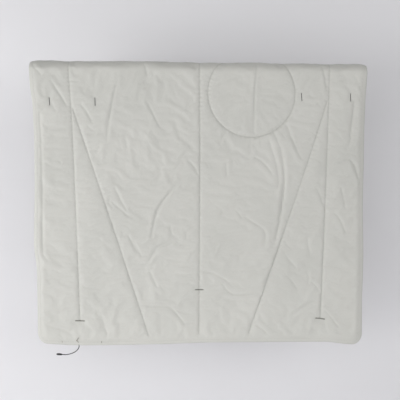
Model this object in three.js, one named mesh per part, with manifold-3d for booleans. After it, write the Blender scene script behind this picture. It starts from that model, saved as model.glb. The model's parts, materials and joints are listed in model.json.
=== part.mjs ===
// A padded camp quilt, folded in half over a hanging rail. Millimetres, +Z up.
// +X runs along the rail, the front drop hangs on the -Y side, and the origin is the middle
// of the quilt's underside where it rests on top of the rail. The rail itself isn't made.
//
// Three layers are sewn together: an outer shell, a sheet of insulation (the batt) and a
// lining. Each layer is made in three stretches: the front drop, the saddle over the rail
// and the back drop, so that the front drop can be lifted like a flap.
import * as THREE from "three";
import { mergeVertices } from "three/addons/utils/BufferGeometryUtils.js";
import Module from "manifold-3d";

const wasm = await Module();
wasm.setup();

// ---- Driving dimensions -------------------------------------------------------------
const RAIL_DIAMETER = 42.4; // the rail the quilt hangs on
const QUILT_WIDTH = 1200;
const FRONT_DROP = 978; // rail axis down to the front hem
const BACK_DROP = 958; // rail axis down to the back hem
const CORNER_RADIUS = 36;

const FABRIC_THICK = 1; // shell and lining, with their own crinkle
const BATT_THICK = 9.4;
const LAYER_GAP = 0.3; // clearance between pieces that touch

const HEM_BAND = 33; // depth of the drawcord channel along the front hem
const EDGE_INSET = 10; // edge stitching, in from the quilt's edge
const SIDE_SEAM_X = 463; // the two long side seams at the fold, out from the middle
const SIDE_SEAM_FOOT_X = 436; // and where they end, closer together
const DIAGONAL_START = { left: 168, right: 132 }; // below the top of the fold, on the side seam
const DIAGONAL_FOOT_X = 187; // where a diagonal seam meets the hem band

const ROUND_RADIUS = 155; // the round seam on the right of the front drop
const ROUND_X = 185;
const ROUND_BELOW_TOP = 108.5; // its middle, below the top of the fold

const THREAD = 1.4; // thickness of a row of stitching as it stands on the shell
const THREAD_SIDES = 6;
const THREAD_LIFT = 0.4; // clearance under a row of stitching
const FLEX_GAP = 3; // unstitched under the fold, so that a lifted drop clears the saddle

const END_TACK = { long: 36, wide: 4, high: 1.6 }; // thread bars that end a seam
const SIDE_TACK_UP = 86; // above the hem
const MIDDLE_TACK_UP = 194;
const TACK_GAP = 3; // thread bars stand this far off the seam that they end

const STRAP_WIDTH = 25; // webbing of the strap loops
const STRAP_THICK = 1.6;
const STRAP_OVERHANG = 6; // webbing past each of its thread bars
const STRAP_FLAT = 22; // webbing that lies flat at each end of a loop
const STRAP_BOW = 7; // how far the slack middle of a loop stands off the lining
const STRAP_HALF_SPAN = { left: 80.5, right: 87.5 }; // thread bar to the middle of its loop
const STRAP_SHIFT = { left: 10, right: -8 }; // middle of a loop, from the side seam
const STRAP_BELOW_TOP = { left: 145, right: 120 };
const STRAP_TACK = { long: 28, wide: 2.4, high: 1.4 };

const CORD_DIAMETER = 3;
const CORD_EXIT_X = -428;
const CORD_PULL = 60; // how far the tail can be drawn out
const CORD_KEPT_IN = 6; // still inside the hem when it has been drawn out
const CORD_HOLE = 5;
const CORD_TUNNEL = 5.4; // width of the tunnel through the batt for the cord's reserve
const EYELET = { outer: 9.5, high: 0.8 };
const CORD_ANCHOR_X = 430; // where the hidden drawcord is sewn down
const CORD_END = { long: 21, neck: 4.6, wide: 7.4, tip: 5.2 };
const EXIT_TACK = { long: 15, wide: 2.2, high: 1.2, lean: 28, up: 20, aside: 8 };

const SADDLE_FACETS = 16; // turns of the saddle's half circle, an even number

// ---- Derived places -----------------------------------------------------------------
const RAIL_RADIUS = RAIL_DIAMETER / 2;
const AXIS_Z = -RAIL_RADIUS; // the rail's axis, below the origin
const LINING_OUT = RAIL_RADIUS + FABRIC_THICK;
const BATT_IN = LINING_OUT + LAYER_GAP;
const BATT_OUT = BATT_IN + BATT_THICK;
const SHELL_IN = BATT_OUT + LAYER_GAP;
const SHELL_OUT = SHELL_IN + FABRIC_THICK;
const HALF_WIDTH = QUILT_WIDTH / 2;
const DROP_TOP = -LAYER_GAP; // below the rail's axis
const TOP_OF_FOLD = SHELL_OUT; // above the rail's axis
const ARC_OUT = (Math.PI / 2) * SHELL_OUT; // outer face, fold's top to the drop's top

// How far below the rail's axis a point lies that is so far down the cloth from the fold.
const belowFold = (distance) => -(distance - TOP_OF_FOLD);

// ---- Materials ----------------------------------------------------------------------
const cloth = (color, roughness) =>
  new THREE.MeshStandardMaterial({ color, roughness, metalness: 0 });
const SHELL = cloth(0xc6c6be, 0.62);
const LINING = cloth(0xbdbdb4, 0.66);
const BATT = cloth(0xf2f1ec, 0.95);
const THREAD_PALE = cloth(0xa9a99f, 0.7);
const THREAD_DARK = cloth(0x45454a, 0.7);
const WEBBING = cloth(0x2b2b2e, 0.8);
const CORD = cloth(0x26262a, 0.75);
const MOULDED = new THREE.MeshStandardMaterial({ color: 0x1c1c1e, roughness: 0.45 });

// ---- Solids -------------------------------------------------------------------------
// Turns a drawing in (x, z) that is extruded along its normal into one that grows to -Y.
const FACE_ON = new THREE.Matrix4().makeBasis(
  new THREE.Vector3(1, 0, 0),
  new THREE.Vector3(0, 0, 1),
  new THREE.Vector3(0, -1, 0),
);
// Turns a drawing in (y, z) that is extruded along its normal into one that grows to +X.
const END_ON = new THREE.Matrix4().makeBasis(
  new THREE.Vector3(0, 1, 0),
  new THREE.Vector3(0, 0, 1),
  new THREE.Vector3(1, 0, 0),
);

function extrude(shape, depth, curveSegments = 8) {
  return new THREE.ExtrudeGeometry(shape, { depth, curveSegments, bevelEnabled: false });
}

// A slab in the plane of a drop, from |y| = from to |y| = to on the -Y side.
function slab(shape, from, to) {
  return extrude(shape, to - from)
    .applyMatrix4(FACE_ON)
    .translate(0, -from, 0);
}

function solid(geometry) {
  const bare = geometry.clone().deleteAttribute("normal").deleteAttribute("uv");
  const merged = mergeVertices(bare, 1e-4);
  return new wasm.Manifold(
    new wasm.Mesh({
      numProp: 3,
      vertProperties: new Float32Array(merged.attributes.position.array),
      triVerts: new Uint32Array(merged.index.array),
    }),
  );
}

function geometryOf(manifold) {
  const mesh = manifold.getMesh();
  const geometry = new THREE.BufferGeometry();
  geometry.setAttribute("position", new THREE.BufferAttribute(mesh.vertProperties, 3));
  geometry.setIndex(new THREE.BufferAttribute(mesh.triVerts, 1));
  geometry.computeVertexNormals();
  return geometry;
}

// The outline of a drop, in (x, z) from the rail's axis: rounded corners at the hem.
function dropOutline(halfWidth, top, bottom, radius) {
  const shape = new THREE.Shape();
  shape.moveTo(-halfWidth, top);
  shape.lineTo(-halfWidth, bottom + radius);
  shape.absarc(-halfWidth + radius, bottom + radius, radius, Math.PI, 1.5 * Math.PI, false);
  shape.lineTo(halfWidth - radius, bottom);
  shape.absarc(halfWidth - radius, bottom + radius, radius, 1.5 * Math.PI, 2 * Math.PI, false);
  shape.lineTo(halfWidth, top);
  return shape;
}

// Points of the saddle's half circle whose flat facets all touch the circle. The facet at
// the top is level, so the saddle's underside has a true flat where it meets the rail.
function facetedArc(radius) {
  const turn = Math.PI / SADDLE_FACETS;
  const corner = radius / Math.cos(turn / 2);
  const points = [new THREE.Vector2(radius, 0)];
  for (let i = 0; i < SADDLE_FACETS; i += 1) {
    const angle = (i + 0.5) * turn;
    points.push(new THREE.Vector2(corner * Math.cos(angle), corner * Math.sin(angle)));
  }
  points.push(new THREE.Vector2(-radius, 0));
  return points;
}

// A layer of the saddle between two radii, from x = -half to x = half.
function saddleLayer(inner, outer, half) {
  const shape = new THREE.Shape([...facetedArc(outer), ...facetedArc(inner).reverse()]);
  return extrude(shape, 2 * half)
    .applyMatrix4(END_ON)
    .translate(-half, 0, 0);
}

function stadium(long, wide) {
  const half = (long - wide) / 2;
  const shape = new THREE.Shape();
  shape.moveTo(-half, -wide / 2);
  shape.lineTo(half, -wide / 2);
  shape.absarc(half, 0, wide / 2, -Math.PI / 2, Math.PI / 2, false);
  shape.lineTo(-half, wide / 2);
  shape.absarc(-half, 0, wide / 2, Math.PI / 2, 1.5 * Math.PI, false);
  return shape;
}

function ring(radius, sides) {
  const points = [];
  for (let i = 0; i < sides; i += 1) {
    const angle = (2 * Math.PI * i) / sides;
    points.push(new THREE.Vector2(radius * Math.cos(angle), radius * Math.sin(angle)));
  }
  return new THREE.Shape(points);
}

// A closed tube of round section along a curve.
function tube(curve, diameter, steps, sides) {
  return new THREE.ExtrudeGeometry(ring(diameter / 2, sides), {
    steps,
    extrudePath: curve,
    bevelEnabled: false,
  });
}

function mesh(name, geometry, material) {
  const made = new THREE.Mesh(geometry, material);
  made.name = name;
  return made;
}

// ---- The three layers ---------------------------------------------------------------
// The shell turns over the quilt's edge, so a drop's shell is a shallow tray.
function shellDrop(length, hole) {
  const outline = dropOutline(HALF_WIDTH, DROP_TOP, -length, CORNER_RADIUS);
  const inside = dropOutline(
    HALF_WIDTH - FABRIC_THICK,
    DROP_TOP + FABRIC_THICK,
    -length + FABRIC_THICK,
    CORNER_RADIUS - FABRIC_THICK,
  );
  let tray = solid(slab(outline, BATT_IN, SHELL_OUT)).subtract(
    solid(slab(inside, RAIL_RADIUS, SHELL_IN)),
  );
  if (hole) tray = tray.subtract(solid(hole));
  return geometryOf(tray);
}

// The batt stops at the hem band. A tunnel, where there is one, is a box cut out of it.
function battDrop(length, tunnel) {
  const inset = FABRIC_THICK + LAYER_GAP;
  const outline = dropOutline(
    HALF_WIDTH - inset,
    DROP_TOP,
    -length + HEM_BAND,
    CORNER_RADIUS - inset,
  );
  const batt = slab(outline, BATT_IN, BATT_OUT);
  return tunnel ? geometryOf(solid(batt).subtract(solid(tunnel))) : batt;
}

function liningDrop(length) {
  const outline = dropOutline(HALF_WIDTH, DROP_TOP, -length, CORNER_RADIUS);
  return slab(outline, RAIL_RADIUS, LINING_OUT);
}

function shellSaddle() {
  const outer = solid(saddleLayer(BATT_IN, SHELL_OUT, HALF_WIDTH));
  const hollow = solid(saddleLayer(RAIL_RADIUS, SHELL_IN, HALF_WIDTH - FABRIC_THICK));
  return geometryOf(outer.subtract(hollow));
}

// ---- Stitching ----------------------------------------------------------------------
const THREAD_AT = SHELL_OUT + THREAD_LIFT + THREAD / 2; // |y| of a thread's middle

// Where a point of the cloth lies: across is along the rail, and down is the distance from
// the fold's top over the outer face, towards the front hem, negative behind the fold.
function onCloth(across, down) {
  if (down > ARC_OUT) {
    return new THREE.Vector3(across, -THREAD_AT, -(down - ARC_OUT));
  }
  const angle = down / SHELL_OUT;
  return new THREE.Vector3(
    across,
    -THREAD_AT * Math.sin(angle),
    THREAD_AT * Math.cos(angle),
  );
}

function seamBetween(from, to) {
  const start = new THREE.Vector3(from[0], -THREAD_AT, from[1]);
  const end = new THREE.Vector3(to[0], -THREAD_AT, to[1]);
  return tube(new THREE.LineCurve3(start, end), THREAD, 1, THREAD_SIDES);
}

// How far out from the middle a side seam of the front drop is, at a height.
function sideSeamAt(z) {
  const low = -FRONT_DROP + SIDE_TACK_UP;
  return SIDE_SEAM_X + ((SIDE_SEAM_FOOT_X - SIDE_SEAM_X) * z) / low;
}

// The edge stitching of a drop: down one side, along the hem and up the other side.
function edgeSeam(length) {
  const x = HALF_WIDTH - EDGE_INSET;
  const low = -length + EDGE_INSET;
  const radius = CORNER_RADIUS - EDGE_INSET;
  const at = (px, pz) => new THREE.Vector3(px, -THREAD_AT, pz);
  const path = new THREE.CurvePath();
  path.add(new THREE.LineCurve3(at(-x, -FLEX_GAP), at(-x, low + radius)));
  path.add(
    new THREE.QuadraticBezierCurve3(at(-x, low + radius), at(-x, low), at(-x + radius, low)),
  );
  path.add(new THREE.LineCurve3(at(-x + radius, low), at(x - radius, low)));
  path.add(
    new THREE.QuadraticBezierCurve3(at(x - radius, low), at(x, low), at(x, low + radius)),
  );
  path.add(new THREE.LineCurve3(at(x, low + radius), at(x, -FLEX_GAP)));
  return tube(path, THREAD, 360, THREAD_SIDES);
}

// A stitched line straight over the saddle, from one drop to the other.
function saddleSeam(x) {
  const inner = SHELL_OUT / Math.cos(Math.PI / SADDLE_FACETS / 2) + THREAD_LIFT;
  return extrude(
    new THREE.Shape([...facetedArc(inner + THREAD), ...facetedArc(inner).reverse()]),
    THREAD,
  )
    .applyMatrix4(END_ON)
    .translate(x - THREAD / 2, 0, 0);
}

// Part of the round seam, between two angles from straight down, laid on the cloth.
function roundSeam(from, to, steps) {
  const middle = ROUND_BELOW_TOP - TOP_OF_FOLD + ARC_OUT;
  const points = [];
  for (let i = 0; i <= steps; i += 1) {
    const angle = from + ((to - from) * i) / steps;
    points.push(
      onCloth(
        ROUND_X + ROUND_RADIUS * Math.sin(angle),
        middle + ROUND_RADIUS * Math.cos(angle),
      ),
    );
  }
  return tube(new THREE.CatmullRomCurve3(points), THREAD, steps, THREAD_SIDES);
}

// The angle from straight down at which the round seam passes from the drop to the saddle.
function roundSplit(past) {
  return Math.acos((TOP_OF_FOLD - ROUND_BELOW_TOP + past) / ROUND_RADIUS);
}

// A bar of close zigzag stitches that stands on the shell at (x, z), turned by an angle.
function tack({ long, wide, high }, x, z, degrees) {
  return slab(stadium(long, wide), 0, high)
    .rotateY(THREE.MathUtils.degToRad(-degrees))
    .translate(x, -(SHELL_OUT + THREAD_LIFT), z);
}

// Webbing sewn to the lining across a side seam, slack so a strap can be threaded under it.
function strapLoop(x, z, halfSpan) {
  const end = halfSpan + STRAP_OVERHANG;
  const flat = end - STRAP_FLAT;
  const top = flat - 2 * STRAP_BOW;
  const path = new THREE.Shape();
  path.moveTo(-end, 0);
  path.lineTo(-flat, 0);
  path.lineTo(-top, STRAP_BOW);
  path.lineTo(top, STRAP_BOW);
  path.lineTo(flat, 0);
  path.lineTo(end, 0);
  path.lineTo(end, STRAP_THICK);
  path.lineTo(flat + STRAP_THICK / 2, STRAP_THICK);
  path.lineTo(top + STRAP_THICK / 2, STRAP_BOW + STRAP_THICK);
  path.lineTo(-top - STRAP_THICK / 2, STRAP_BOW + STRAP_THICK);
  path.lineTo(-flat - STRAP_THICK / 2, STRAP_THICK);
  path.lineTo(-end, STRAP_THICK);
  return extrude(path, STRAP_WIDTH).translate(
    x,
    -(RAIL_RADIUS - LAYER_GAP),
    z - STRAP_WIDTH / 2,
  );
}

// The seams that both drops have. On the turned back drop, left and right change places.
function addSewing(group, end, length, turned) {
  const foot = -length + HEM_BAND;
  const middleTack = -length + MIDDLE_TACK_UP;
  const sideTack = -length + SIDE_TACK_UP;
  const above = END_TACK.wide / 2 + TACK_GAP;

  group.add(
    mesh(`centre_seam_${end}`, seamBetween([0, -FLEX_GAP], [0, middleTack + above]), THREAD_PALE),
    mesh(`centre_seam_foot_${end}`, seamBetween([0, middleTack - above], [0, foot]), THREAD_PALE),
    mesh(`centre_end_tack_${end}`, tack(END_TACK, 0, middleTack, 0), THREAD_PALE),
    mesh(`edge_stitching_${end}`, edgeSeam(length), THREAD_PALE),
  );
  for (const side of ["left", "right"]) {
    const sign = (side === "right") === turned ? -1 : 1;
    const footX = sign * SIDE_SEAM_FOOT_X;
    const seam = seamBetween([sign * SIDE_SEAM_X, -FLEX_GAP], [footX, sideTack + above]);
    group.add(
      mesh(`${side}_seam_${end}`, seam, THREAD_PALE),
      mesh(`${side}_end_tack_${end}`, tack(END_TACK, footX, sideTack, 0), THREAD_PALE),
    );
  }
}

// Only the front drop has the two diagonal seams and, inside it, the two strap loops.
function addDiagonalsAndLoops(group) {
  const foot = -FRONT_DROP + HEM_BAND;
  for (const [side, sign] of [
    ["left", -1],
    ["right", 1],
  ]) {
    const start = belowFold(DIAGONAL_START[side]);
    const strapZ = belowFold(STRAP_BELOW_TOP[side]);
    const from = [sign * (sideSeamAt(start) - 2 * TACK_GAP), start];
    const diagonal = seamBetween(from, [sign * DIAGONAL_FOOT_X, foot]);
    const middle = sign * sideSeamAt(strapZ) + STRAP_SHIFT[side];
    const outer = middle + sign * STRAP_HALF_SPAN[side];
    const inner = middle - sign * STRAP_HALF_SPAN[side];
    group.add(
      mesh(`${side}_diagonal_seam`, diagonal, THREAD_PALE),
      mesh(`${side}_strap_loop`, strapLoop(middle, strapZ, STRAP_HALF_SPAN[side]), WEBBING),
      mesh(`${side}_strap_tack_outer`, tack(STRAP_TACK, outer, strapZ, 90), THREAD_DARK),
      mesh(`${side}_strap_tack_inner`, tack(STRAP_TACK, inner, strapZ, 90), THREAD_DARK),
    );
  }
}

// ---- Front drop ---------------------------------------------------------------------
const CORD_Y = -(RAIL_RADIUS + SHELL_OUT) / 2; // middle of the quilt's thickness

function frontDrop() {
  const group = new THREE.Group();
  const hem = -FRONT_DROP;
  const hole = new THREE.CylinderGeometry(CORD_HOLE / 2, CORD_HOLE / 2, 4 * FABRIC_THICK, 24)
    .rotateX(Math.PI / 2)
    .translate(CORD_EXIT_X, CORD_Y, hem);
  const tunnelLong = CORD_PULL + CORD_KEPT_IN + CORD_DIAMETER - HEM_BAND;
  const tunnel = new THREE.BoxGeometry(CORD_TUNNEL, 2 * BATT_OUT, 2 * tunnelLong).translate(
    CORD_EXIT_X,
    CORD_Y,
    hem + HEM_BAND,
  );
  const channelEnd = CORD_EXIT_X + CORD_TUNNEL / 2 + CORD_DIAMETER;
  const channelZ = hem + HEM_BAND / 2;
  const cordPath = new THREE.LineCurve3(
    new THREE.Vector3(channelEnd, CORD_Y, channelZ),
    new THREE.Vector3(CORD_ANCHOR_X, CORD_Y, channelZ),
  );
  const eyelet = new THREE.LatheGeometry(
    [
      new THREE.Vector2(CORD_HOLE / 2, 0),
      new THREE.Vector2(EYELET.outer / 2, 0),
      new THREE.Vector2(EYELET.outer / 2, EYELET.high),
      new THREE.Vector2(CORD_HOLE / 2, EYELET.high),
      new THREE.Vector2(CORD_HOLE / 2, 0),
    ],
    24,
  )
    .rotateX(Math.PI / 2)
    .translate(CORD_EXIT_X, CORD_Y, hem - LAYER_GAP - EYELET.high);
  const exitTack = tack(
    EXIT_TACK,
    CORD_EXIT_X - EXIT_TACK.aside,
    hem + EXIT_TACK.up,
    90 - EXIT_TACK.lean,
  );
  const split = roundSplit(FLEX_GAP);

  group.add(
    mesh("shell_front", shellDrop(FRONT_DROP, hole), SHELL),
    mesh("batt_front", battDrop(FRONT_DROP, tunnel), BATT),
    mesh("lining_front", liningDrop(FRONT_DROP), LINING),
    mesh("round_seam_front", roundSeam(-split, split, 56), THREAD_PALE),
    mesh("drawcord_in_hem", tube(cordPath, CORD_DIAMETER, 1, 8), CORD),
    mesh("cord_eyelet", eyelet, THREAD_DARK),
    mesh("cord_exit_tack", exitTack, THREAD_DARK),
  );
  addSewing(group, "front", FRONT_DROP, false);
  addDiagonalsAndLoops(group);
  return group;
}

// ---- The drawcord's tail ------------------------------------------------------------
// The tail's route, as (x, z) from the point where it leaves the hem: straight down out of
// the eyelet, then round to the left in one springy curve.
const TAIL_ROUTE = [
  [0, 0],
  [0.3, -7],
  [-1.6, -14],
  [-6.6, -21],
  [-14.5, -27.4],
  [-24, -32.2],
  [-35, -35.8],
  [-47, -37.8],
  [-62, -37.2],
];

function cordTail() {
  const group = new THREE.Group();
  const points = TAIL_ROUTE.map(
    ([x, z]) => new THREE.Vector3(CORD_EXIT_X + x, CORD_Y, -FRONT_DROP + z),
  );
  const route = new THREE.CatmullRomCurve3(points);
  const direction = route.getTangentAt(1);
  const place = points[points.length - 1].clone().addScaledVector(direction, LAYER_GAP);
  const end = new THREE.LatheGeometry(
    [
      new THREE.Vector2(0, 0),
      new THREE.Vector2(CORD_END.neck / 2, 0),
      new THREE.Vector2(CORD_END.wide / 2, CORD_END.long * 0.35),
      new THREE.Vector2(CORD_END.wide / 2, CORD_END.long * 0.7),
      new THREE.Vector2(CORD_END.tip / 2, CORD_END.long * 0.95),
      new THREE.Vector2(CORD_END.tip / 4, CORD_END.long),
      new THREE.Vector2(0, CORD_END.long),
    ],
    20,
  );
  const capMesh = mesh("cord_end", end, MOULDED);
  capMesh.quaternion.setFromUnitVectors(new THREE.Vector3(0, 1, 0), direction);
  capMesh.position.copy(place);
  const reserve = new THREE.LineCurve3(
    new THREE.Vector3(CORD_EXIT_X, CORD_Y, -FRONT_DROP + LAYER_GAP),
    new THREE.Vector3(CORD_EXIT_X, CORD_Y, -FRONT_DROP + CORD_PULL + CORD_KEPT_IN),
  );
  group.add(
    mesh("drawcord_reserve", tube(reserve, CORD_DIAMETER, 1, 8), CORD),
    mesh("drawcord_tail", tube(route, CORD_DIAMETER, 36, 8), CORD),
    capMesh,
  );
  return group;
}

// ---- Saddle and back drop -----------------------------------------------------------
function saddle() {
  const group = new THREE.Group();
  const inset = FABRIC_THICK + LAYER_GAP;
  const split = roundSplit(-THREAD);
  group.add(
    mesh("shell_saddle", shellSaddle(), SHELL),
    mesh("batt_saddle", saddleLayer(BATT_IN, BATT_OUT, HALF_WIDTH - inset), BATT),
    mesh("lining_saddle", saddleLayer(RAIL_RADIUS, LINING_OUT, HALF_WIDTH), LINING),
    mesh("round_seam_saddle", roundSeam(split, 2 * Math.PI - split, 40), THREAD_PALE),
    mesh("centre_seam_saddle", saddleSeam(0), THREAD_PALE),
    mesh("left_seam_saddle", saddleSeam(-SIDE_SEAM_X), THREAD_PALE),
    mesh("right_seam_saddle", saddleSeam(SIDE_SEAM_X), THREAD_PALE),
    mesh("left_edge_stitching_saddle", saddleSeam(-HALF_WIDTH + EDGE_INSET), THREAD_PALE),
    mesh("right_edge_stitching_saddle", saddleSeam(HALF_WIDTH - EDGE_INSET), THREAD_PALE),
  );
  return group;
}

function backDrop() {
  const group = new THREE.Group();
  group.rotation.z = Math.PI;
  group.add(
    mesh("shell_back", shellDrop(BACK_DROP, null), SHELL),
    mesh("batt_back", battDrop(BACK_DROP, null), BATT),
    mesh("lining_back", liningDrop(BACK_DROP), LINING),
  );
  addSewing(group, "back", BACK_DROP, true);
  return group;
}

// ---- The quilt ----------------------------------------------------------------------
const quilt = new THREE.Group();
quilt.position.z = AXIS_Z;
quilt.add(saddle(), frontDrop(), cordTail(), backDrop());

export default quilt;
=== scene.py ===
# %% [markdown]
# # A camp quilt over a rail
#
# A camp quilt is two sheets of thin woven nylon with a sheet of springy fibre between them,
# sewn through in long rows. This one is folded in half over a rail. We load the plain model
# of its structure first: every size and place below comes from it, so the looks and the
# structure can't drift apart.

# %% Load the frame
import json
import math

import bmesh
import bpy
import numpy as np
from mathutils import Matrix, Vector, bvhtree, geometry, kdtree, noise

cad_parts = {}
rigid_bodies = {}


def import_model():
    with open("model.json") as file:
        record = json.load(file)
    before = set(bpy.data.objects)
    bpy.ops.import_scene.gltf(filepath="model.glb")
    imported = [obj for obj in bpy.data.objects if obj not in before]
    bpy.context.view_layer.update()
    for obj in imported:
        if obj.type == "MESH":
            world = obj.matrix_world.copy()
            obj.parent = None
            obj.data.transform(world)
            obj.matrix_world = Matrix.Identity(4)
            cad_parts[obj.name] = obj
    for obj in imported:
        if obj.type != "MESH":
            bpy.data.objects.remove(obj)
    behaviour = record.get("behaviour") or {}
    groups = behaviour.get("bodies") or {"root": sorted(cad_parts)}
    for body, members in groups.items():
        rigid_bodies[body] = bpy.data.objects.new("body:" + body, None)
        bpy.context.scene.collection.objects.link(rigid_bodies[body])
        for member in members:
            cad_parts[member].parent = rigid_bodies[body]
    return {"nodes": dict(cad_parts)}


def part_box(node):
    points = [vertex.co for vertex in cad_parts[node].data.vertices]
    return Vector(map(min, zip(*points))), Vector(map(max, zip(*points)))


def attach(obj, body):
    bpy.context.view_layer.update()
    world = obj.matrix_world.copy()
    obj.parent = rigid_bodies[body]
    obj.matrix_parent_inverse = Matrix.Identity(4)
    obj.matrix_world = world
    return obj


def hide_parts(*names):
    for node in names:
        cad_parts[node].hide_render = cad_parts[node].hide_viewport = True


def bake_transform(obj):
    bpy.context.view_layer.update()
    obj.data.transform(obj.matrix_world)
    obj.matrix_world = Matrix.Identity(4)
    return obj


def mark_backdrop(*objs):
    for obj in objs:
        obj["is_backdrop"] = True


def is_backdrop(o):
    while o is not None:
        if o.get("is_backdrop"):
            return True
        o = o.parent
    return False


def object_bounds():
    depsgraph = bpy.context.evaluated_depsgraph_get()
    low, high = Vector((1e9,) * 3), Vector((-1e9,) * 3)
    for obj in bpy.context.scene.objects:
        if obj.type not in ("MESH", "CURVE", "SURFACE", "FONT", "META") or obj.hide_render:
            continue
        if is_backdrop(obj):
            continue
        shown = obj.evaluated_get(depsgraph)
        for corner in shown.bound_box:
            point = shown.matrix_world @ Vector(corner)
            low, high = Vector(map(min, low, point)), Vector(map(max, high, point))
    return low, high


for leftover in list(bpy.data.objects):
    bpy.data.objects.remove(leftover)
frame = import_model()
cad_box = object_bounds()

# %% [markdown]
# ## Camera and light
#
# The camera stands a little left of the middle and looks almost level. The quilt hangs in a
# pale room lit from a big soft source low on the left, so its upward faces are the darker
# ones. A white wall stands behind it. The wall and floor are clear from their back sides, so
# that the quilt can be looked at from behind and from below too.

# %% Camera
LENS_MM = 60
SENSOR_MM = 36
FRAME_WIDE = 1.436  # width of the view at the quilt
AIM = Vector((0.0066, -0.03, -0.479))
CAMERA_TURN = math.radians(-0.8)
CAMERA_RISE = math.radians(3.5)
CAMERA_ROLL = math.radians(0.55)

distance = FRAME_WIDE * LENS_MM / SENSOR_MM
camera_data = bpy.data.cameras.new("camera")
camera_data.lens = LENS_MM
camera_data.sensor_width = SENSOR_MM
camera = bpy.data.objects.new("camera", camera_data)
bpy.context.scene.collection.objects.link(camera)
away = Vector(
    (
        math.sin(CAMERA_TURN) * math.cos(CAMERA_RISE),
        -math.cos(CAMERA_TURN) * math.cos(CAMERA_RISE),
        math.sin(CAMERA_RISE),
    )
)
camera.location = AIM + away * distance
look = (-away).to_track_quat("-Z", "Y")
camera.rotation_euler = look.to_matrix().to_4x4().to_euler()
camera.rotation_euler.rotate_axis("Z", CAMERA_ROLL)
bpy.context.scene.camera = camera
print("camera is", round(distance, 2), "m from the quilt")


# %% Making and choosing pieces
def deselect():
    for chosen in list(bpy.context.selected_objects):
        chosen.select_set(False)


def make_active(piece):
    deselect()
    piece.select_set(True)
    bpy.context.view_layer.objects.active = piece


def new_piece(name, points, faces):
    """An object made of points and faces, selected and active."""
    mesh = bpy.data.meshes.new(name)
    mesh.from_pydata(points, [], faces)
    mesh.update()
    piece = bpy.data.objects.new(name, mesh)
    bpy.context.scene.collection.objects.link(piece)
    make_active(piece)
    return piece


def turn_faces_outwards():
    """Makes the faces of the active piece point outwards."""
    bpy.ops.object.mode_set(mode="EDIT")
    bpy.ops.mesh.select_all(action="SELECT")
    bpy.ops.mesh.normals_make_consistent(inside=False)
    bpy.ops.object.mode_set(mode="OBJECT")


# %% Wall and floor
WALL_BEHIND = 0.42
FLOOR_BELOW = 1.45
deselect()
bpy.ops.mesh.primitive_plane_add(size=12, location=(0, WALL_BEHIND, 2), rotation=(math.pi / 2, 0, 0))
wall = bpy.context.object
wall.name = "wall"
bpy.ops.mesh.primitive_plane_add(size=12, location=(0, WALL_BEHIND - 6, -FLOOR_BELOW))
floor = bpy.context.object
floor.name = "floor"
backdrop = bpy.data.materials.new("backdrop")
backdrop.use_nodes = True
room_tree = backdrop.node_tree
paint = room_tree.nodes["Principled BSDF"]
paint.inputs["Base Color"].default_value = (0.757, 0.753, 0.772, 1)
paint.inputs["Roughness"].default_value = 0.9
behind = room_tree.nodes.new("ShaderNodeNewGeometry")
clear = room_tree.nodes.new("ShaderNodeBsdfTransparent")
either = room_tree.nodes.new("ShaderNodeMixShader")
room_tree.links.new(behind.outputs["Backfacing"], either.inputs["Fac"])
room_tree.links.new(paint.outputs["BSDF"], either.inputs[1])
room_tree.links.new(clear.outputs["BSDF"], either.inputs[2])
room_tree.links.new(either.outputs["Shader"], room_tree.nodes["Material Output"].inputs["Surface"])
wall.data.materials.append(backdrop)
floor.data.materials.append(backdrop)
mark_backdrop(wall, floor)


# %% Light
def area_light(name, place, aim, size, watts):
    data = bpy.data.lights.new(name, "AREA")
    data.shape = "RECTANGLE"
    data.size, data.size_y = size
    data.energy = watts
    lamp = bpy.data.objects.new(name, data)
    bpy.context.scene.collection.objects.link(lamp)
    lamp.location = place
    lamp.rotation_euler = (Vector(aim) - Vector(place)).to_track_quat("-Z", "Y").to_euler()


area_light("window", (-2.6, -2.4, -0.9), (0, 0, -0.5), (1.8, 1.4), 40)
area_light("side_window", (-3.2, -0.9, -0.4), (0, 0, -0.5), (1.2, 1.6), 26)
area_light("front", (-0.6, -3.4, 0.1), (0, 0, -0.5), (2.4, 2.0), 23)
area_light("right", (2.4, -3.2, 0.6), (0, 0, -0.5), (2.5, 2.5), 48)
area_light("from_floor", (0, -0.7, -1.4), (0, 0.4, -1.25), (2.6, 0.4), 3.2)
world = bpy.data.worlds.new("room")
world.use_nodes = True
world.node_tree.nodes["Background"].inputs["Color"].default_value = (1, 1, 1, 1)
world.node_tree.nodes["Background"].inputs["Strength"].default_value = 0.24
bpy.context.scene.view_settings.view_transform = "Standard"
bpy.context.scene.world = world

# %% [markdown]
# ## Sizes from the structure
#
# The quilt is described in cloth coordinates: u runs along the rail, and v is the distance
# down the cloth from the top of the fold, positive on the front drop and negative behind.

# %% Sizes
MM = 0.001
shell_low, shell_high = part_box("shell_front")
_, lining_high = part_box("lining_front")
saddle_low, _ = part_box("shell_saddle")
back_low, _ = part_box("shell_back")
HALF_WIDTH = shell_high[0]
OUTER_R = -shell_low[1]  # radius of the shell's outer face round the rail's axis
INNER_R = -lining_high[1]
AXIS_Z = saddle_low[2]
ARC = OUTER_R * math.pi / 2
FRONT_V = ARC + (AXIS_Z - shell_low[2])
BACK_V = -(ARC + (AXIS_Z - back_low[2]))
CORNER_R = 36 * MM
EDGE_INSET = 10 * MM
print(f"cloth {2 * HALF_WIDTH:.3f} m wide, v from {BACK_V:.3f} to {FRONT_V:.3f} m")


def seam_v(z):
    """v of a height on the front drop."""
    return ARC + (AXIS_Z - z)


# %% [markdown]
# ## Where the seams run
#
# Each seam is a line of points in cloth coordinates, read from the structure's own threads.

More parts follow.
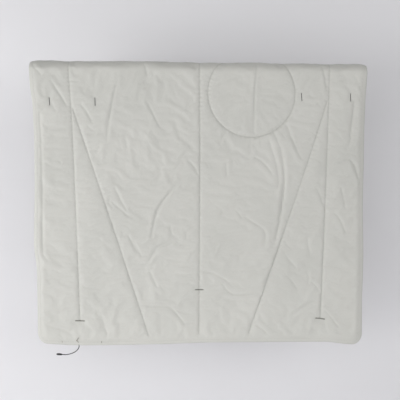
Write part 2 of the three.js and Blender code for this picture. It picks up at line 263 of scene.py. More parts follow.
# %% Seams
def run(start, end, step=4 * MM):
    """Evenly spaced points from start to end."""
    start, end = np.array(start, float), np.array(end, float)
    count = max(2, int(np.linalg.norm(end - start) / step) + 1)
    return start + (end - start) * np.linspace(0, 1, count)[:, None]


side_low, side_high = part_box("right_seam_front")
side_top, side_foot = side_high[0], side_low[0]
diagonal_low, diagonal_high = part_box("right_diagonal_seam")
left_low, left_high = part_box("left_diagonal_seam")
round_low, round_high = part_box("round_seam_front")
centre_low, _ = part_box("centre_seam_foot_front")
tack_low, tack_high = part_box("right_end_tack_front")
middle_low, middle_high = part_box("centre_end_tack_front")
back_tack_low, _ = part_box("right_end_tack_back")

BAND_V = seam_v(centre_low[2])  # top of the hem band
SIDE_END_V = seam_v((tack_low[2] + tack_high[2]) / 2)
ROUND_U = (round_low[0] + round_high[0]) / 2
ROUND_R = 155 * MM
ROUND_V = seam_v(round_low[2]) - ROUND_R

seams = {
    "centre": run((0, ARC), (0, BAND_V)),
    "left_side": run((-side_top, ARC), (-side_foot, SIDE_END_V)),
    "right_side": run((side_top, ARC), (side_foot, SIDE_END_V)),
    "left_diagonal": run((left_low[0], seam_v(left_high[2])), (left_high[0], BAND_V)),
    "right_diagonal": run((diagonal_high[0], seam_v(diagonal_high[2])), (diagonal_low[0], BAND_V)),
}
print("seams", {name: len(points) for name, points in seams.items()})

# %% Bars that end a seam or hold a loop
END_LONG, END_WIDE = (tack_high - tack_low)[0], (tack_high - tack_low)[2] * 1.3
MIDDLE_LONG = (middle_high - middle_low)[0] * 0.86


def bar_place(node, long, wide, degrees):
    """Where a bar of thread lies on the cloth: u, v, its size and its turn."""
    low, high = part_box(node)
    middle = (low + high) / 2
    v = seam_v(middle[2]) if low[1] < 0 else -seam_v(middle[2])
    return float(middle[0]), float(v), long, wide, degrees


BARS = {}
for side, slant in (("left", 0), ("right", 7)):
    BARS[f"{side}_end_bar_front"] = bar_place(f"{side}_end_tack_front", END_LONG, END_WIDE, slant)
    BARS[f"{side}_end_bar_back"] = bar_place(f"{side}_end_tack_back", END_LONG, END_WIDE, 0)
    for where in ("outer", "inner"):
        BARS[f"{side}_strap_bar_{where}"] = bar_place(
            f"{side}_strap_tack_{where}", 28 * MM, 2.4 * MM, 90 if side == "left" else 87
        )
for face in ("front", "back"):
    BARS[f"centre_end_bar_{face}"] = bar_place(f"centre_end_tack_{face}", MIDDLE_LONG, END_WIDE, 0)
print(len(BARS), "bars")

# %% [markdown]
# ## Creases
#
# A quilt that was packed and then hung keeps long soft creases, and the cloth pulls in
# straight lines towards the places where it is sewn hard. The main ones are listed: each
# is a line of points on the cloth, with a depth and a width.

# %% Creases
CREASES = (
    # points (u, v) in metres, depth mm, width mm
    (((-0.594, 0.029), (-0.575, 0.052), (-0.555, 0.075)), 2.2, 6),
    (((-0.526, 0.090), (-0.500, 0.135), (-0.473, 0.179)), 2.2, 5),
    (((-0.540, 0.150), (-0.505, 0.215)), 1.5, 5),
    (((-0.419, 0.175), (-0.383, 0.236)), 1.7, 5),
    (((-0.297, 0.111), (-0.318, 0.200), (-0.333, 0.297)), 1.6, 7),
    (((-0.186, 0.165), (-0.143, 0.254)), 1.1, 6),
    (((-0.043, 0.369), (-0.020, 0.392), (-0.006, 0.422)), 2.4, 5),
    (((-0.304, 0.469), (-0.285, 0.512), (-0.265, 0.548)), 2.2, 5),
    (((-0.315, 0.519), (-0.258, 0.569)), 1.6, 5),
    (((-0.258, 0.637), (-0.229, 0.698)), 1.8, 5),
    (((-0.240, 0.655), (-0.212, 0.712)), 1.2, 5),
    (((-0.179, 0.770), (-0.154, 0.823)), 1.7, 5),
    (((-0.082, 0.451), (-0.132, 0.512), (-0.158, 0.562), (-0.175, 0.641)), 1.5, 5),
    (((-0.190, 0.737), (-0.160, 0.690), (-0.143, 0.677), (-0.100, 0.659)), 2.3, 5),
    (((-0.186, 0.891), (-0.125, 0.893), (-0.097, 0.906), (-0.054, 0.959)), 2.4, 6),
    (((-0.354, 0.927), (-0.337, 0.999)), 2.6, 14),
    (((-0.562, 0.963), (-0.473, 0.985)), 1.9, 6),
    (((0.262, 0.262), (0.296, 0.360), (0.302, 0.470), (0.288, 0.580), (0.272, 0.666)), 3.8, 8),
    (((0.250, 0.300), (0.278, 0.395), (0.280, 0.470)), 1.6, 6),
    (((0.308, 0.233), (0.335, 0.300), (0.362, 0.358)), 2.3, 6),
    (((0.437, 0.032), (0.448, 0.080), (0.455, 0.129)), 1.8, 5),
    (((0.200, 0.354), (0.232, 0.378), (0.258, 0.415)), 2.3, 5),
    (((0.093, 0.268), (0.075, 0.304)), 1.5, 6),
    (((0.097, 0.372), (0.097, 0.426)), 1.5, 5),
    (((0.168, 0.569), (0.213, 0.600), (0.236, 0.623), (0.233, 0.677)), 2.2, 6),
    (((0.090, 0.818), (0.122, 0.850), (0.170, 0.852), (0.226, 0.849)), 2.0, 5),
    (((0.004, 0.770), (0.060, 0.780), (0.104, 0.806)), 1.3, 5),
    (((0.340, 0.931), (0.380, 0.898), (0.422, 0.881)), 2.2, 6),
    (((0.458, 0.916), (0.505, 0.967)), 2.0, 6),
    (((0.483, 0.551), (0.510, 0.580), (0.530, 0.626)), 2.0, 6),
    (((0.512, 0.368), (0.544, 0.360), (0.565, 0.385), (0.580, 0.426)), 3.2, 6),
    (((0.558, 0.158), (0.552, 0.230), (0.541, 0.308)), 3.0, 16),
    (((0.512, 0.462), (0.530, 0.530)), 1.8, 6),
    (((0.387, 0.648), (0.397, 0.709)), 1.6, 6),
    (((0.419, 0.462), (0.444, 0.530)), 1.4, 6),
    (((0.315, 0.716), (0.347, 0.752)), 1.6, 5),
    (((0.218, 0.970), (0.254, 0.999)), 1.8, 6),
    (((-0.577, 0.175), (-0.573, 0.440), (-0.570, 0.712)), 2.4, 14),
    (((0.209, 0.010), (0.199, 0.090), (0.196, 0.180), (0.197, 0.268)), 2.0, 4),
)


def small_creases(count, seed):
    """Short sharp creases, mostly slanting, strewn over both drops."""
    chance = np.random.default_rng(seed)
    made = []
    for _ in range(count):
        u, v = chance.uniform(-0.56, 0.56), chance.uniform(0.03, 0.96)
        v = -v if chance.random() < 0.45 else v
        angle = chance.choice((-1, 1)) * chance.normal(1.05, 0.35)
        long = chance.uniform(14, 46) * MM
        step = np.array((math.cos(angle), math.sin(angle))) * long / 2
        bend = np.array((-step[1], step[0])) * chance.uniform(-0.3, 0.3)
        middle = np.array((u, v))
        points = (middle - step, middle + bend, middle + step)
        made.append((tuple(map(tuple, points)), chance.uniform(0.7, 1.5), chance.uniform(2.2, 3.6)))
    return tuple(made)


def run_along(points, step=4 * MM):
    """A smooth line of evenly spaced points through a few given ones."""
    points = np.array(points, float)
    if len(points) > 2:
        where = np.linspace(0, len(points) - 1, 12 * len(points))
        power = min(len(points) - 1, 3)
        points = np.stack(
            [np.polyval(np.polyfit(range(len(points)), points[:, k], power), where) for k in (0, 1)], 1
        )
    lengths = np.linalg.norm(np.diff(points, axis=0), axis=1)
    along = np.concatenate([[0], np.cumsum(lengths)])
    marks = np.linspace(0, along[-1], max(2, int(along[-1] / step) + 1))
    return np.stack([np.interp(marks, along, points[:, k]) for k in (0, 1)], 1)


ALL_CREASES = CREASES + small_creases(76, 77)
print(len(ALL_CREASES), "creases")

# %% [markdown]
# ## The padded body
#
# The body is one closed form: the outer shell, the lining and the rolled edge between them,
# with the fibre's loft as the space inside. A plain box could be subdivided and inflated, but
# its grid would cross the slanted and round seams in little steps. So each sheet is
# triangulated with rows of points laid along its seams, and evenly spread points elsewhere.

# %% Rows of points along the seams
FILL = 7.6 * MM  # spacing of points on the open cloth
LINING_FILL = 13 * MM
ROWS = (0, 2.4, 5.4)  # mm to each side of a seam


def offset_rows(points, rows):
    """The line itself and copies of it to both sides, rows in mm."""
    tangent = np.gradient(points, axis=0)
    tangent /= np.linalg.norm(tangent, axis=1)[:, None]
    side = np.stack([-tangent[:, 1], tangent[:, 0]], 1)
    for row in rows:
        for sign in (1, -1) if row else (1,):
            yield points + side * row * sign * MM


PART_V = -ARC  # where the body is parted: the back drop is the side behind this line


def rounded_outline(inset, step=5 * MM):
    """The quilt's outline in cloth coordinates, moved in by inset."""
    r = CORNER_R - inset
    x, top, low = HALF_WIDTH - inset, FRONT_V - inset, BACK_V + inset
    corners = [(x - r, top - r, 0), (-x + r, top - r, 1), (-x + r, low + r, 2), (x - r, low + r, 3)]
    line = []
    for cu, cv, quarter in corners:
        angles = np.linspace(0, math.pi / 2, 11) + quarter * math.pi / 2
        line.append(np.stack([cu + r * np.cos(angles), cv + r * np.sin(angles)], 1))
    ring = []
    for here, after in zip(line, line[1:] + line[:1]):
        ring.append(here[:-1])
        start, end = here[-1], after[0]
        if (start[1] - PART_V) * (end[1] - PART_V) < 0:
            parting = np.array((start[0], PART_V))
            ring.append(run(start, parting, step)[:-1])
            start = parting
        ring.append(run(start, end, step)[:-1])
    return np.concatenate(ring)


class Spread:
    """A set of points that takes a new one only where there is room for it."""

    def __init__(self, cell):
        self.cell, self.cells, self.points = cell, {}, []

    def add(self, candidates, room):
        reach = int(math.ceil(room / self.cell))
        for u, v in candidates:
            i, j = int(u // self.cell), int(v // self.cell)
            near = (
                self.points[k]
                for a in range(i - reach, i + reach + 1)
                for b in range(j - reach, j + reach + 1)
                for k in self.cells.get((a, b), ())
            )
            if all((u - p[0]) ** 2 + (v - p[1]) ** 2 > room * room for p in near):
                self.cells.setdefault((i, j), []).append(len(self.points))
                self.points.append((u, v))


def sheet_mesh(fill, rows, folds, seed):
    """Points and triangles of one flat sheet. The outline's points come first."""
    chance = np.random.default_rng(seed)
    outline = rounded_outline(0)
    spread = Spread(fill)
    spread.add(outline, 0.5 * MM)
    across = HALF_WIDTH - 5 * MM
    parting = run((-across, PART_V), (across, PART_V), 5 * MM)
    spread.add(parting, 0.5 * MM)
    for line in [*seams.values(), *closed_seams.values()]:
        for row in offset_rows(line, rows):
            spread.add(row, 1.9 * MM)
    for line in folds:
        for row in offset_rows(line, (0, 4)):
            spread.add(row, 2.6 * MM)
    for row in offset_rows(rounded_outline(EDGE_INSET / 2), (0,)):
        spread.add(row, 2.5 * MM)
    us = np.arange(-HALF_WIDTH, HALF_WIDTH, fill)
    vs = np.arange(BACK_V, FRONT_V, fill * 0.866)
    grid_u, grid_v = np.meshgrid(us, vs)
    grid_u = grid_u + (np.arange(len(vs)) % 2)[:, None] * fill / 2
    grid = np.stack([grid_u.ravel(), grid_v.ravel()], 1)
    grid += chance.uniform(-0.17, 0.17, grid.shape) * fill
    r = CORNER_R - 3 * MM
    inner = np.abs(grid[:, 0]) < HALF_WIDTH - 3 * MM
    inner &= (grid[:, 1] > BACK_V + 3 * MM) & (grid[:, 1] < FRONT_V - 3 * MM)
    corner = np.stack(
        [
            np.maximum(np.abs(grid[:, 0]) - (HALF_WIDTH - CORNER_R), 0),
            np.maximum(np.maximum(grid[:, 1] - (FRONT_V - CORNER_R), BACK_V + CORNER_R - grid[:, 1]), 0),
        ],
        1,
    )
    inner &= np.hypot(corner[:, 0], corner[:, 1]) < r
    spread.add(grid[inner], 0.62 * fill)
    flat = [Vector(p) for p in spread.points]
    ring = list(range(len(outline)))
    ends = []
    for x in (-HALF_WIDTH, HALF_WIDTH):
        ends.append(int(np.argmin(np.linalg.norm(outline - (x, PART_V), axis=1))))
    cut = [ends[0], *range(len(outline), len(outline) + len(parting)), ends[1]]
    verts, _, faces, *_ = geometry.delaunay_2d_cdt(flat, list(zip(cut, cut[1:])), [ring], 1, 1e-7)
    return np.array([tuple(v) for v in verts]), np.array([f for f in faces if len(f) == 3]), len(outline)


def circle_line(step=3.6 * MM):
    turns = np.linspace(0, 2 * math.pi, int(2 * math.pi * ROUND_R / step), endpoint=False)
    return np.stack([ROUND_U + ROUND_R * np.cos(turns), ROUND_V + ROUND_R * np.sin(turns)], 1)


back_end = -(ARC + AXIS_Z - back_tack_low[2])
seams["centre"] = run((0, -ARC - AXIS_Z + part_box("centre_seam_foot_back")[0][2]), (0, BAND_V))
for name, side in (("left_side", -1), ("right_side", 1)):
    behind = run((side * side_foot, back_end), (side * side_top, -ARC))
    over = run((side * side_top, -ARC), (side * side_top, ARC))
    seams[name] = np.concatenate([behind[:-1], over[:-1], seams[name]])
closed_seams = {"round": circle_line(), "edge": rounded_outline(EDGE_INSET, 4 * MM)}
fold_lines = [run_along(points) for points, *_ in ALL_CREASES]
outer_uv, outer_faces, ring_count = sheet_mesh(FILL, ROWS, fold_lines, 11)
inner_uv, inner_faces, _ = sheet_mesh(LINING_FILL, (0, 4), [], 12)
print("shell", len(outer_uv), "points,", len(outer_faces), "triangles")
print("lining", len(inner_uv), "points,", len(inner_faces), "triangles")

# %% [markdown]
# ## From flat cloth to the hanging quilt
#
# The real quilt narrows a little towards the hem, because its seams and edges draw the cloth
# in, its sides hang unevenly and its hem sags between the seams. The tables give those few
# millimetres by depth below the fold or by place along the hem. The places below carry flat
# cloth coordinates to the room: down the front, over the fold and down the back.

# %% Hanging the cloth
MIDDLE_R = (OUTER_R + INNER_R) / 2
LEFT_SIDE = ((0, -1), (0.07, 4), (0.115, 12), (0.24, 17), (0.41, 18), (0.63, 14), (0.71, 25), (0.98, 27))
RIGHT_SIDE = ((0, 4), (0.09, 6), (0.18, 8), (0.35, 7), (0.48, 7), (0.65, 0), (0.82, 1), (0.98, -2))
HEM_SHIFT = ((-0.436, 12), (-0.187, 10.5), (0, 7.5), (0.187, 2), (0.436, 12.4))
HEM_SAG = (
    (-0.6, 3), (-0.54, 6), (-0.43, 10), (-0.25, 6), (-0.12, 3), (0, -3), (0.21, -6), (0.47, -9),
    (0.515, -3), (0.56, 2), (0.6, 1),
)


def eased_table(where, table):
    """Values in mm from a table, in metres, with the corners of its line rounded."""
    places, values = np.array(table, float).T
    reach = np.linspace(-1, 1, 9) * 0.022
    return np.mean([np.interp(where + step, places, values) for step in reach], axis=0) * MM


def hang(uv, height):
    """Room coordinates of cloth points that stand height outside the middle of the quilt."""
    u, v = uv[:, 0], uv[:, 1]
    down = np.maximum(np.abs(v) - ARC, 0)
    share = down / (FRONT_V - ARC)
    eased = (1 - np.exp(-2.6 * share)) / (1 - math.exp(-2.6))
    knots = [-HALF_WIDTH, *[place for place, _ in HEM_SHIFT], HALF_WIDTH]
    left, right = eased_table(down, LEFT_SIDE), -eased_table(down, RIGHT_SIDE)
    shifts = [left, *[eased * value * MM for _, value in HEM_SHIFT], right]
    x = u.copy()
    for k, (low, high) in enumerate(zip(knots, knots[1:])):
        between = np.clip((u - low) / (high - low), 0, 1)
        inside = (u >= low) & (u < high) if k < len(knots) - 2 else u >= low
        x = np.where(inside, u + shifts[k] * (1 - between) + shifts[k + 1] * between, x)
    x = np.where(u < knots[0], u + left, x)
    sag = -eased_table(u, HEM_SAG) * share**3
    turn = np.clip(v / ARC, -1, 1) * math.pi / 2
    radius = MIDDLE_R + height
    y = -radius * np.sin(turn)
    z = AXIS_Z + radius * np.cos(turn) - down + sag
    hanging = np.minimum(1, down / 0.08)
    y = y + 9 * MM * (np.clip(u - 0.47, 0, 1) / 0.13) ** 2 * hanging * np.where(v > 0, 1, -1)
    return np.stack([x, y, z], 1)


def cloth_u(x, v):
    """The u of the cloth that hangs at x in the room, at a given v."""
    u = x
    for _ in range(4):
        u += x - hang(np.array([[u, v]]), np.zeros(1))[0, 0]
    return u


# The strap loops hang where the structure has them, so their bars are put on the cloth there.
for name, (x, v, *rest) in BARS.items():
    if "strap" in name:
        BARS[name] = (cloth_u(x, v), v, *rest)

# %% [markdown]
# ## Distance to the nearest seam
#
# Loft, puckers and the pull of the thread all depend on how far a point is from a seam and
# how far along it, so both are measured once for every point.

# %% Seam distances
def dense(line, closed):
    """Points 1 mm apart along a line, and how far along it each one is."""
    line = np.concatenate([line, line[:1]]) if closed else line
    steps = np.linalg.norm(np.diff(line, axis=0), axis=1)
    along = np.concatenate([[0], np.cumsum(steps)])
    marks = np.arange(0, along[-1], 1 * MM)
    return np.stack([np.interp(marks, along, line[:, k]) for k in (0, 1)], 1), marks


def seam_field(uv, names):
    """Distance to the nearest of the named seams, and the distance along it."""
    points, marks = [], []
    for number, name in enumerate(names):
        line, along = dense(closed_seams.get(name, seams.get(name)), name in closed_seams)
        points.append(line)
        marks.append(along + 7.3 * number)
    points, marks = np.concatenate(points), np.concatenate(marks)
    tree = kdtree.KDTree(len(points))
    for i, (u, v) in enumerate(points):
        tree.insert((u, v, 0), i)
    tree.balance()
    found = [tree.find((u, v, 0)) for u, v in uv]
    index = np.array([f[1] for f in found])
    return np.array([f[2] for f in found]), marks[index]


def edge_distance(uv):
    """Distance in from the quilt's edge."""
    x = HALF_WIDTH - np.abs(uv[:, 0])
    y = np.minimum(FRONT_V - uv[:, 1], uv[:, 1] - BACK_V)
    cx, cy = CORNER_R - x, CORNER_R - y
    corner = (cx > 0) & (cy > 0)
    return np.where(corner, CORNER_R - np.hypot(cx, cy), np.minimum(x, y))


def rough(uv, scale, seed, detail=3):
    """Smooth noise from -1 to 1 over the cloth, with features about scale metres across."""
    shift = Vector((seed * 3.7, seed * 1.9, seed * 0.77))
    return np.array(
        [noise.fractal(Vector((u / scale, v / scale, 0)) + shift, 0.9, 2.1, detail) for u, v in uv]
    )


names = [*seams, "round"]
outer_d, outer_s = seam_field(outer_uv, names)
inner_d, inner_s = seam_field(inner_uv, names)
outer_edge, inner_edge = edge_distance(outer_uv), edge_distance(inner_uv)

# %% How high the creases stand
def crease_height(uv, creases):
    """Height of the creases: a sharp valley with low ridges beside it, fading at its ends."""
    total = np.zeros(len(uv))
    for points, depth, width in creases:
        line, marks = dense(run_along(points), False)
        low, high = line.min(0) - 3 * width * MM, line.max(0) + 3 * width * MM
        near = np.all((uv > low) & (uv < high), axis=1)
        if not near.any():
            continue
        away = np.linalg.norm(uv[near][:, None] - line[None], axis=2)
        closest = away.argmin(1)
        along = marks[closest] / marks[-1]
        fade = np.sin(np.pi * np.clip(0.08 + 0.84 * along, 0, 1)) ** 0.7
        away = away.min(1) / (width * MM)
        valley = 0.85 * np.exp(-1.9 * away)
        ridge = 0.15 * np.exp(-(((away - 2.1) / 1.3) ** 2))
        total[near] += depth * MM * fade * (ridge - valley)
    return total


def dents(uv):
    """Cloth pulled down round each bar, with short folds that run out from it."""
    total = np.zeros(len(uv))
    nearest = np.full(len(uv), 1.0)
    for number, (u, v, long, _, degrees) in enumerate(BARS.values()):
        along = np.array((math.cos(math.radians(degrees)), math.sin(math.radians(degrees))))
        away = uv - (u, v)
        share = np.clip(away @ along, -long / 2, long / 2)
        gap = away - share[:, None] * along
        distance = np.linalg.norm(gap, axis=1)
        angle = np.arctan2(away @ along[::-1] * (1, -1)[number % 2], away @ along)
        folds = np.cos((5 + number % 3) * angle + number) * (1 - np.exp(-distance / (4 * MM)))
        total -= 2.0 * MM * np.exp(-((distance / (6 * MM)) ** 1.2))
        total += 0.9 * MM * folds * np.exp(-distance / (15 * MM))
        nearest = np.minimum(nearest, distance)
    return total, nearest


outer_dent, outer_bar = dents(outer_uv)
CREASE_GAIN = 1.25
outer_crease = crease_height(outer_uv, ALL_CREASES) * CREASE_GAIN + outer_dent
print("creases up to", round(outer_crease.max() * 1000, 1), "mm")

# %% [markdown]
# ## Loft and puckers
#
# Between the seams the fibre lifts the shell. At a seam the thread pulls both sheets
# together, and as thread is a little shorter than cloth, the cloth beside it gathers into
# small ripples across the seam.

# %% Shell and lining profiles
HALF = (OUTER_R - INNER_R) / 2
RIM_HALF = 3.4 * MM


def loft(distance, reach, height):
    return height * (1 - np.exp(-((distance / reach) ** 1.15)))


def ripples(uv, distance, along, seed, size, length):
    """Gathers across a seam, uneven along it and dying away to each side."""
    wander = rough(uv, 0.09, seed, 2)
    strength = 0.55 + 0.75 * np.clip(rough(uv, 0.16, seed + 5, 2) + 0.2, 0, 1)
    wave = np.sin(2 * np.pi * along / length + 3.2 * wander)
    near = np.exp(-((distance / (17 * MM)) ** 1.3)) * (1 - np.exp(-((distance / (2.2 * MM)) ** 2)))
    return size * strength * wave * near


def profile(uv, distance, along, edge, crease, seed, puff, groove):
    """Height of a sheet outside the quilt's middle."""
    over_fold = np.clip((np.abs(uv[:, 1]) - ARC * 0.6) / (25 * MM), 0, 1)
    groove = groove * (0.25 + 0.75 * over_fold)
    body = HALF + loft(distance, 42 * MM, puff)
    body -= groove * np.exp(-((distance / (2.7 * MM)) ** 2))
    body += ripples(uv, distance, along, seed, 0.8 * MM, 15 * MM) * over_fold
    body += crease + 0.7 * MM * rough(uv, 0.11, seed + 1, 4) + 0.2 * MM * rough(uv, 0.035, seed + 2, 2)
    blend = np.sin(np.clip(edge / (30 * MM), 0, 1) * math.pi / 2) ** 0.8
    stitched = 0.5 * MM * np.exp(-(((edge - EDGE_INSET) / (2.2 * MM)) ** 2))
    return RIM_HALF * (1 - blend) + body * blend - stitched


outer_h = profile(outer_uv, outer_d, outer_s, outer_edge, outer_crease, 21, 2.5 * MM, 2.0 * MM)
inner_h = -profile(inner_uv, inner_d, inner_s, inner_edge, 0, 31, 1.5 * MM, 2.0 * MM)
on_rail = np.clip(1 - (np.abs(inner_uv[:, 1]) - ARC * 0.8) / 0.03, 0, 1)
for side in ("left", "right"):
    loop_low, loop_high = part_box(f"{side}_strap_loop")
    loop_middle = (loop_low + loop_high) / 2
    reach_u = np.abs(inner_uv[:, 0] - loop_middle[0]) - (loop_high - loop_low)[0] / 2
    reach_v = np.abs(inner_uv[:, 1] - seam_v(loop_middle[2])) - (loop_high - loop_low)[2] / 2
    reach = np.maximum(np.maximum(reach_u, reach_v), 0)
    on_rail = np.maximum(on_rail, np.clip(1.3 - reach / (14 * MM), 0, 1))
inner_h = inner_h * (1 - on_rail) + (INNER_R - MIDDLE_R) * on_rail

# %% Joining the sheets into one closed form
RIM_STEPS = 3


def closed_body():
    """One mesh: shell, lining (turned over) and the rolled rim between their outlines."""
    top, low = hang(outer_uv, outer_h), hang(inner_uv, inner_h)
    ring = outer_uv[:ring_count]
    inward = edge_normals(ring)
    rims = []
    for step in range(1, RIM_STEPS + 1):
        angle = math.pi / 2 * (1 - 2 * step / (RIM_STEPS + 1))
        out = RIM_HALF * math.cos(angle)
        rims.append(hang(ring + inward * out, np.full(ring_count, RIM_HALF * math.sin(angle))))
    points = np.concatenate([top, low, *rims])
    faces = [tuple(f) for f in outer_faces]
    shift = len(top)
    faces += [tuple(f[::-1] + shift) for f in inner_faces]
    starts = [0] + [shift + len(low) + k * ring_count for k in range(RIM_STEPS)] + [shift]
    for a, b in zip(starts, starts[1:]):
        for i in range(ring_count):
            j = (i + 1) % ring_count
            faces.append((a + i, b + i, b + j, a + j))
    return points, faces


def edge_normals(ring):
    """Unit vectors that point out of the outline, in cloth coordinates."""
    after, before = np.roll(ring, -1, axis=0), np.roll(ring, 1, axis=0)
    tangent = after - before
    tangent /= np.linalg.norm(tangent, axis=1)[:, None]
    return np.stack([tangent[:, 1], -tangent[:, 0]], 1)


body_points, body_faces = closed_body()
body = new_piece("quilt_body", body_points.tolist(), body_faces)
turn_faces_outwards()
bpy.ops.object.shade_smooth()
body_faces = [tuple(face.vertices) for face in body.data.polygons]
check = bmesh.new()
check.from_mesh(body.data)
print("open edges", sum(1 for e in check.edges if not e.is_manifold), "volume", check.calc_volume())
check.free()

# %% [markdown]
# ## Letting the cloth settle
#
# Thread gathers cloth, so between its seams the shell has a little more cloth than the space
# it covers, and it buckles into fine wrinkles over the springy fibre. Cloth simulation finds
# those wrinkles. The cloth is told that it is a few percent larger than it is, the seams and
# the edge are held, and everywhere else is held only softly, as the fibre would.

# %% Cloth simulation
EXTRA_CLOTH = 0.009
HOLD_FIBRE = 0.14
SETTLE_FRAMES = 14


def settle(piece, weights, extra, frames):
    """Runs the cloth simulation on a piece and keeps the shape that it ends in."""
    hold = piece.vertex_groups.new(name="hold")
    weights = np.round(weights, 2)
    for weight in np.unique(weights):
        hold.add(np.nonzero(weights == weight)[0].tolist(), float(weight), "REPLACE")
    cloth = piece.modifiers.new("cloth", "CLOTH")
    setting = cloth.settings
    setting.quality = 4
    setting.mass = 0.12
    setting.tension_stiffness = 30
    setting.compression_stiffness = 30
    setting.shear_stiffness = 12
    setting.bending_stiffness = 0.2
    setting.air_damping = 4
    setting.tension_damping = 8
    setting.compression_damping = 8
    setting.shrink_min = -extra
    setting.vertex_group_mass = "hold"
    setting.pin_stiffness = 1.0
    setting.effector_weights.gravity = 0
    cloth.collision_settings.use_collision = False
    cloth.collision_settings.use_self_collision = False
    cloth.point_cache.frame_start = 1
    cloth.point_cache.frame_end = frames
    scene = bpy.context.scene
    for step in range(1, frames + 1):
        scene.frame_set(step)
    make_active(piece)
    bpy.ops.object.modifier_apply(modifier=cloth.name)
    piece.vertex_groups.clear()
    scene.frame_set(1)


outer_hold = np.where((outer_d < 1.5 * MM) | (outer_bar < 2 * MM), 1.0, HOLD_FIBRE)
outer_hold = np.maximum(outer_hold, np.clip(1.15 - outer_edge / (22 * MM), 0, 1))
outer_hold[np.abs(outer_uv[:, 1] - PART_V) < 0.1 * MM] = 1.0
inner_hold = np.where(inner_d < 2 * MM, 1.0, HOLD_FIBRE)
inner_hold[(inner_edge < EDGE_INSET) | (on_rail > 0.3)] = 1.0
holds = np.concatenate([outer_hold, inner_hold, np.ones(ring_count * RIM_STEPS)])
settle(body, holds, EXTRA_CLOTH, SETTLE_FRAMES)
settled = np.array([v.co for v in body.data.vertices])
moved = np.linalg.norm(settled - body_points, axis=1)
print("cloth moved up to", round(moved.max() * 1000, 1), "mm")

# %% [markdown]
# ## Parting the body at the fold
#
# The front drop can be lifted, and the back drop stays. So the body is parted behind the fold
# into two closed pieces. Each keeps the normals of the whole, so that the light runs across
# the parting without a line, and each cut is capped so that both pieces are closed.

# %% Two closed pieces
body.data.update()
body_normals = np.array([v.normal for v in body.data.vertices])
# near_seam is 1 in each seam's groove and falls to 0 within a few mm; the cloth material darkens the
# cloth by it, as painted shade in the grooves.
near = [np.exp(-((distances / (2.6 * MM)) ** 2)) for distances in (outer_d, inner_d)]
body_near_seam = np.concatenate([*near, np.zeros(ring_count * RIM_STEPS)])
flat_uv = np.concatenate([outer_uv, inner_uv, *[outer_uv[:ring_count]] * RIM_STEPS])
lining_start, lining_end = len(outer_faces), len(outer_faces) + len(inner_faces)
face_v = np.array([flat_uv[list(f), 1].mean() for f in body_faces])
SHELL_SLOT, LINING_SLOT = 0, 1


def body_piece(name, keep):
    """A closed piece made of the body's faces that keep picks."""
    chosen = np.nonzero(keep)[0]
    used = np.unique(np.concatenate([body_faces[i] for i in chosen]))
    new_index = {int(old): new for new, old in enumerate(used)}
    faces = [tuple(new_index[int(i)] for i in body_faces[k]) for k in chosen]
    piece = new_piece(name, settled[used].tolist(), faces)
    mesh = piece.data
    slots = np.where((chosen >= lining_start) & (chosen < lining_end), LINING_SLOT, SHELL_SLOT)
    mesh.polygons.foreach_set("material_index", slots.astype(np.int32))
    bpy.ops.object.mode_set(mode="EDIT")
    bpy.ops.mesh.select_mode(type="EDGE")
    bpy.ops.mesh.select_all(action="DESELECT")
    bpy.ops.mesh.select_non_manifold(extend=False)
    bpy.ops.mesh.fill(use_beauty=False)
    bpy.ops.object.mode_set(mode="OBJECT")
    bpy.ops.object.shade_smooth()
    cloth_map = mesh.uv_layers.new(name="cloth")
    corners = np.zeros(len(mesh.loops), np.int32)
    mesh.loops.foreach_get("vertex_index", corners)
    cloth_map.data.foreach_set("uv", flat_uv[used][corners].astype(np.float32).ravel())
    # The near_seam attribute carries the painted shade of the seam grooves to the material.
    seam_shade_layer = mesh.attributes.new("near_seam", "FLOAT", "POINT")
    seam_shade_layer.data.foreach_set("value", body_near_seam[used].astype(np.float32))
    normals = body_normals[used][corners]
    for polygon in mesh.polygons[len(faces):]:
        normals[list(polygon.loop_indices)] = polygon.normal
    mesh.normals_split_custom_set(normals.tolist())
    print(name, len(mesh.polygons), "faces,", len(mesh.polygons) - len(faces), "of them in the cap")
    return piece


front_body = body_piece("quilt_front", face_v > PART_V)
back_body = body_piece("quilt_back", face_v <= PART_V)
bpy.data.objects.remove(body)

# %% [markdown]
# ## Sewing
#
# Every stitch is a short length of thread that comes out of the cloth and goes back in. One
# stitch is modelled, and a copy is laid on the settled cloth at each place. The cloth's own
# shape says where each one lies, so the sewing follows every pucker.

# %% One stitch
deselect()
bpy.ops.mesh.primitive_uv_sphere_add(segments=6, ring_count=5, radius=0.5)
pattern = bpy.context.object
bpy.ops.object.mode_set(mode="EDIT")
bpy.ops.mesh.select_all(action="SELECT")
bpy.ops.transform.rotate(value=math.pi / 2, orient_axis="Y", center_override=(0, 0, 0))
bpy.ops.object.mode_set(mode="OBJECT")
stitch_points = np.array([v.co for v in pattern.data.vertices])
stitch_points[:, 2] -= 1.1 * stitch_points[:, 0] ** 2  # its ends turn down into the cloth
stitch_faces = [tuple(p.vertices) for p in pattern.data.polygons]
bpy.data.objects.remove(pattern)
print("a stitch has", len(stitch_faces), "faces")


# %% Finding a place on the cloth
class Cloth:
    """A settled sheet: gives the place and the normal at any cloth coordinates."""

    def __init__(self, uv, faces, start):
        flat = [(u, v, 0) for u, v in uv]
        self.tree = bvhtree.BVHTree.FromPolygons(flat, [tuple(map(int, f)) for f in faces])
        self.uv, self.faces = uv, faces
        self.points = settled[start : start + len(uv)]
        self.normals = body_normals[start : start + len(uv)]

    def at(self, u, v):
        face = self.faces[self.tree.find_nearest((u, v, 0))[2]]
        a, b, c = self.uv[face]
        base = np.array([b - a, c - a]).T
        s, t = np.linalg.solve(base, np.array([u, v]) - a)
        weights = np.array([1 - s - t, s, t])
        normal = weights @ self.normals[face]
        return weights @ self.points[face], normal / np.linalg.norm(normal)


shell = Cloth(outer_uv, outer_faces, 0)
lining = Cloth(inner_uv, inner_faces, len(outer_uv))


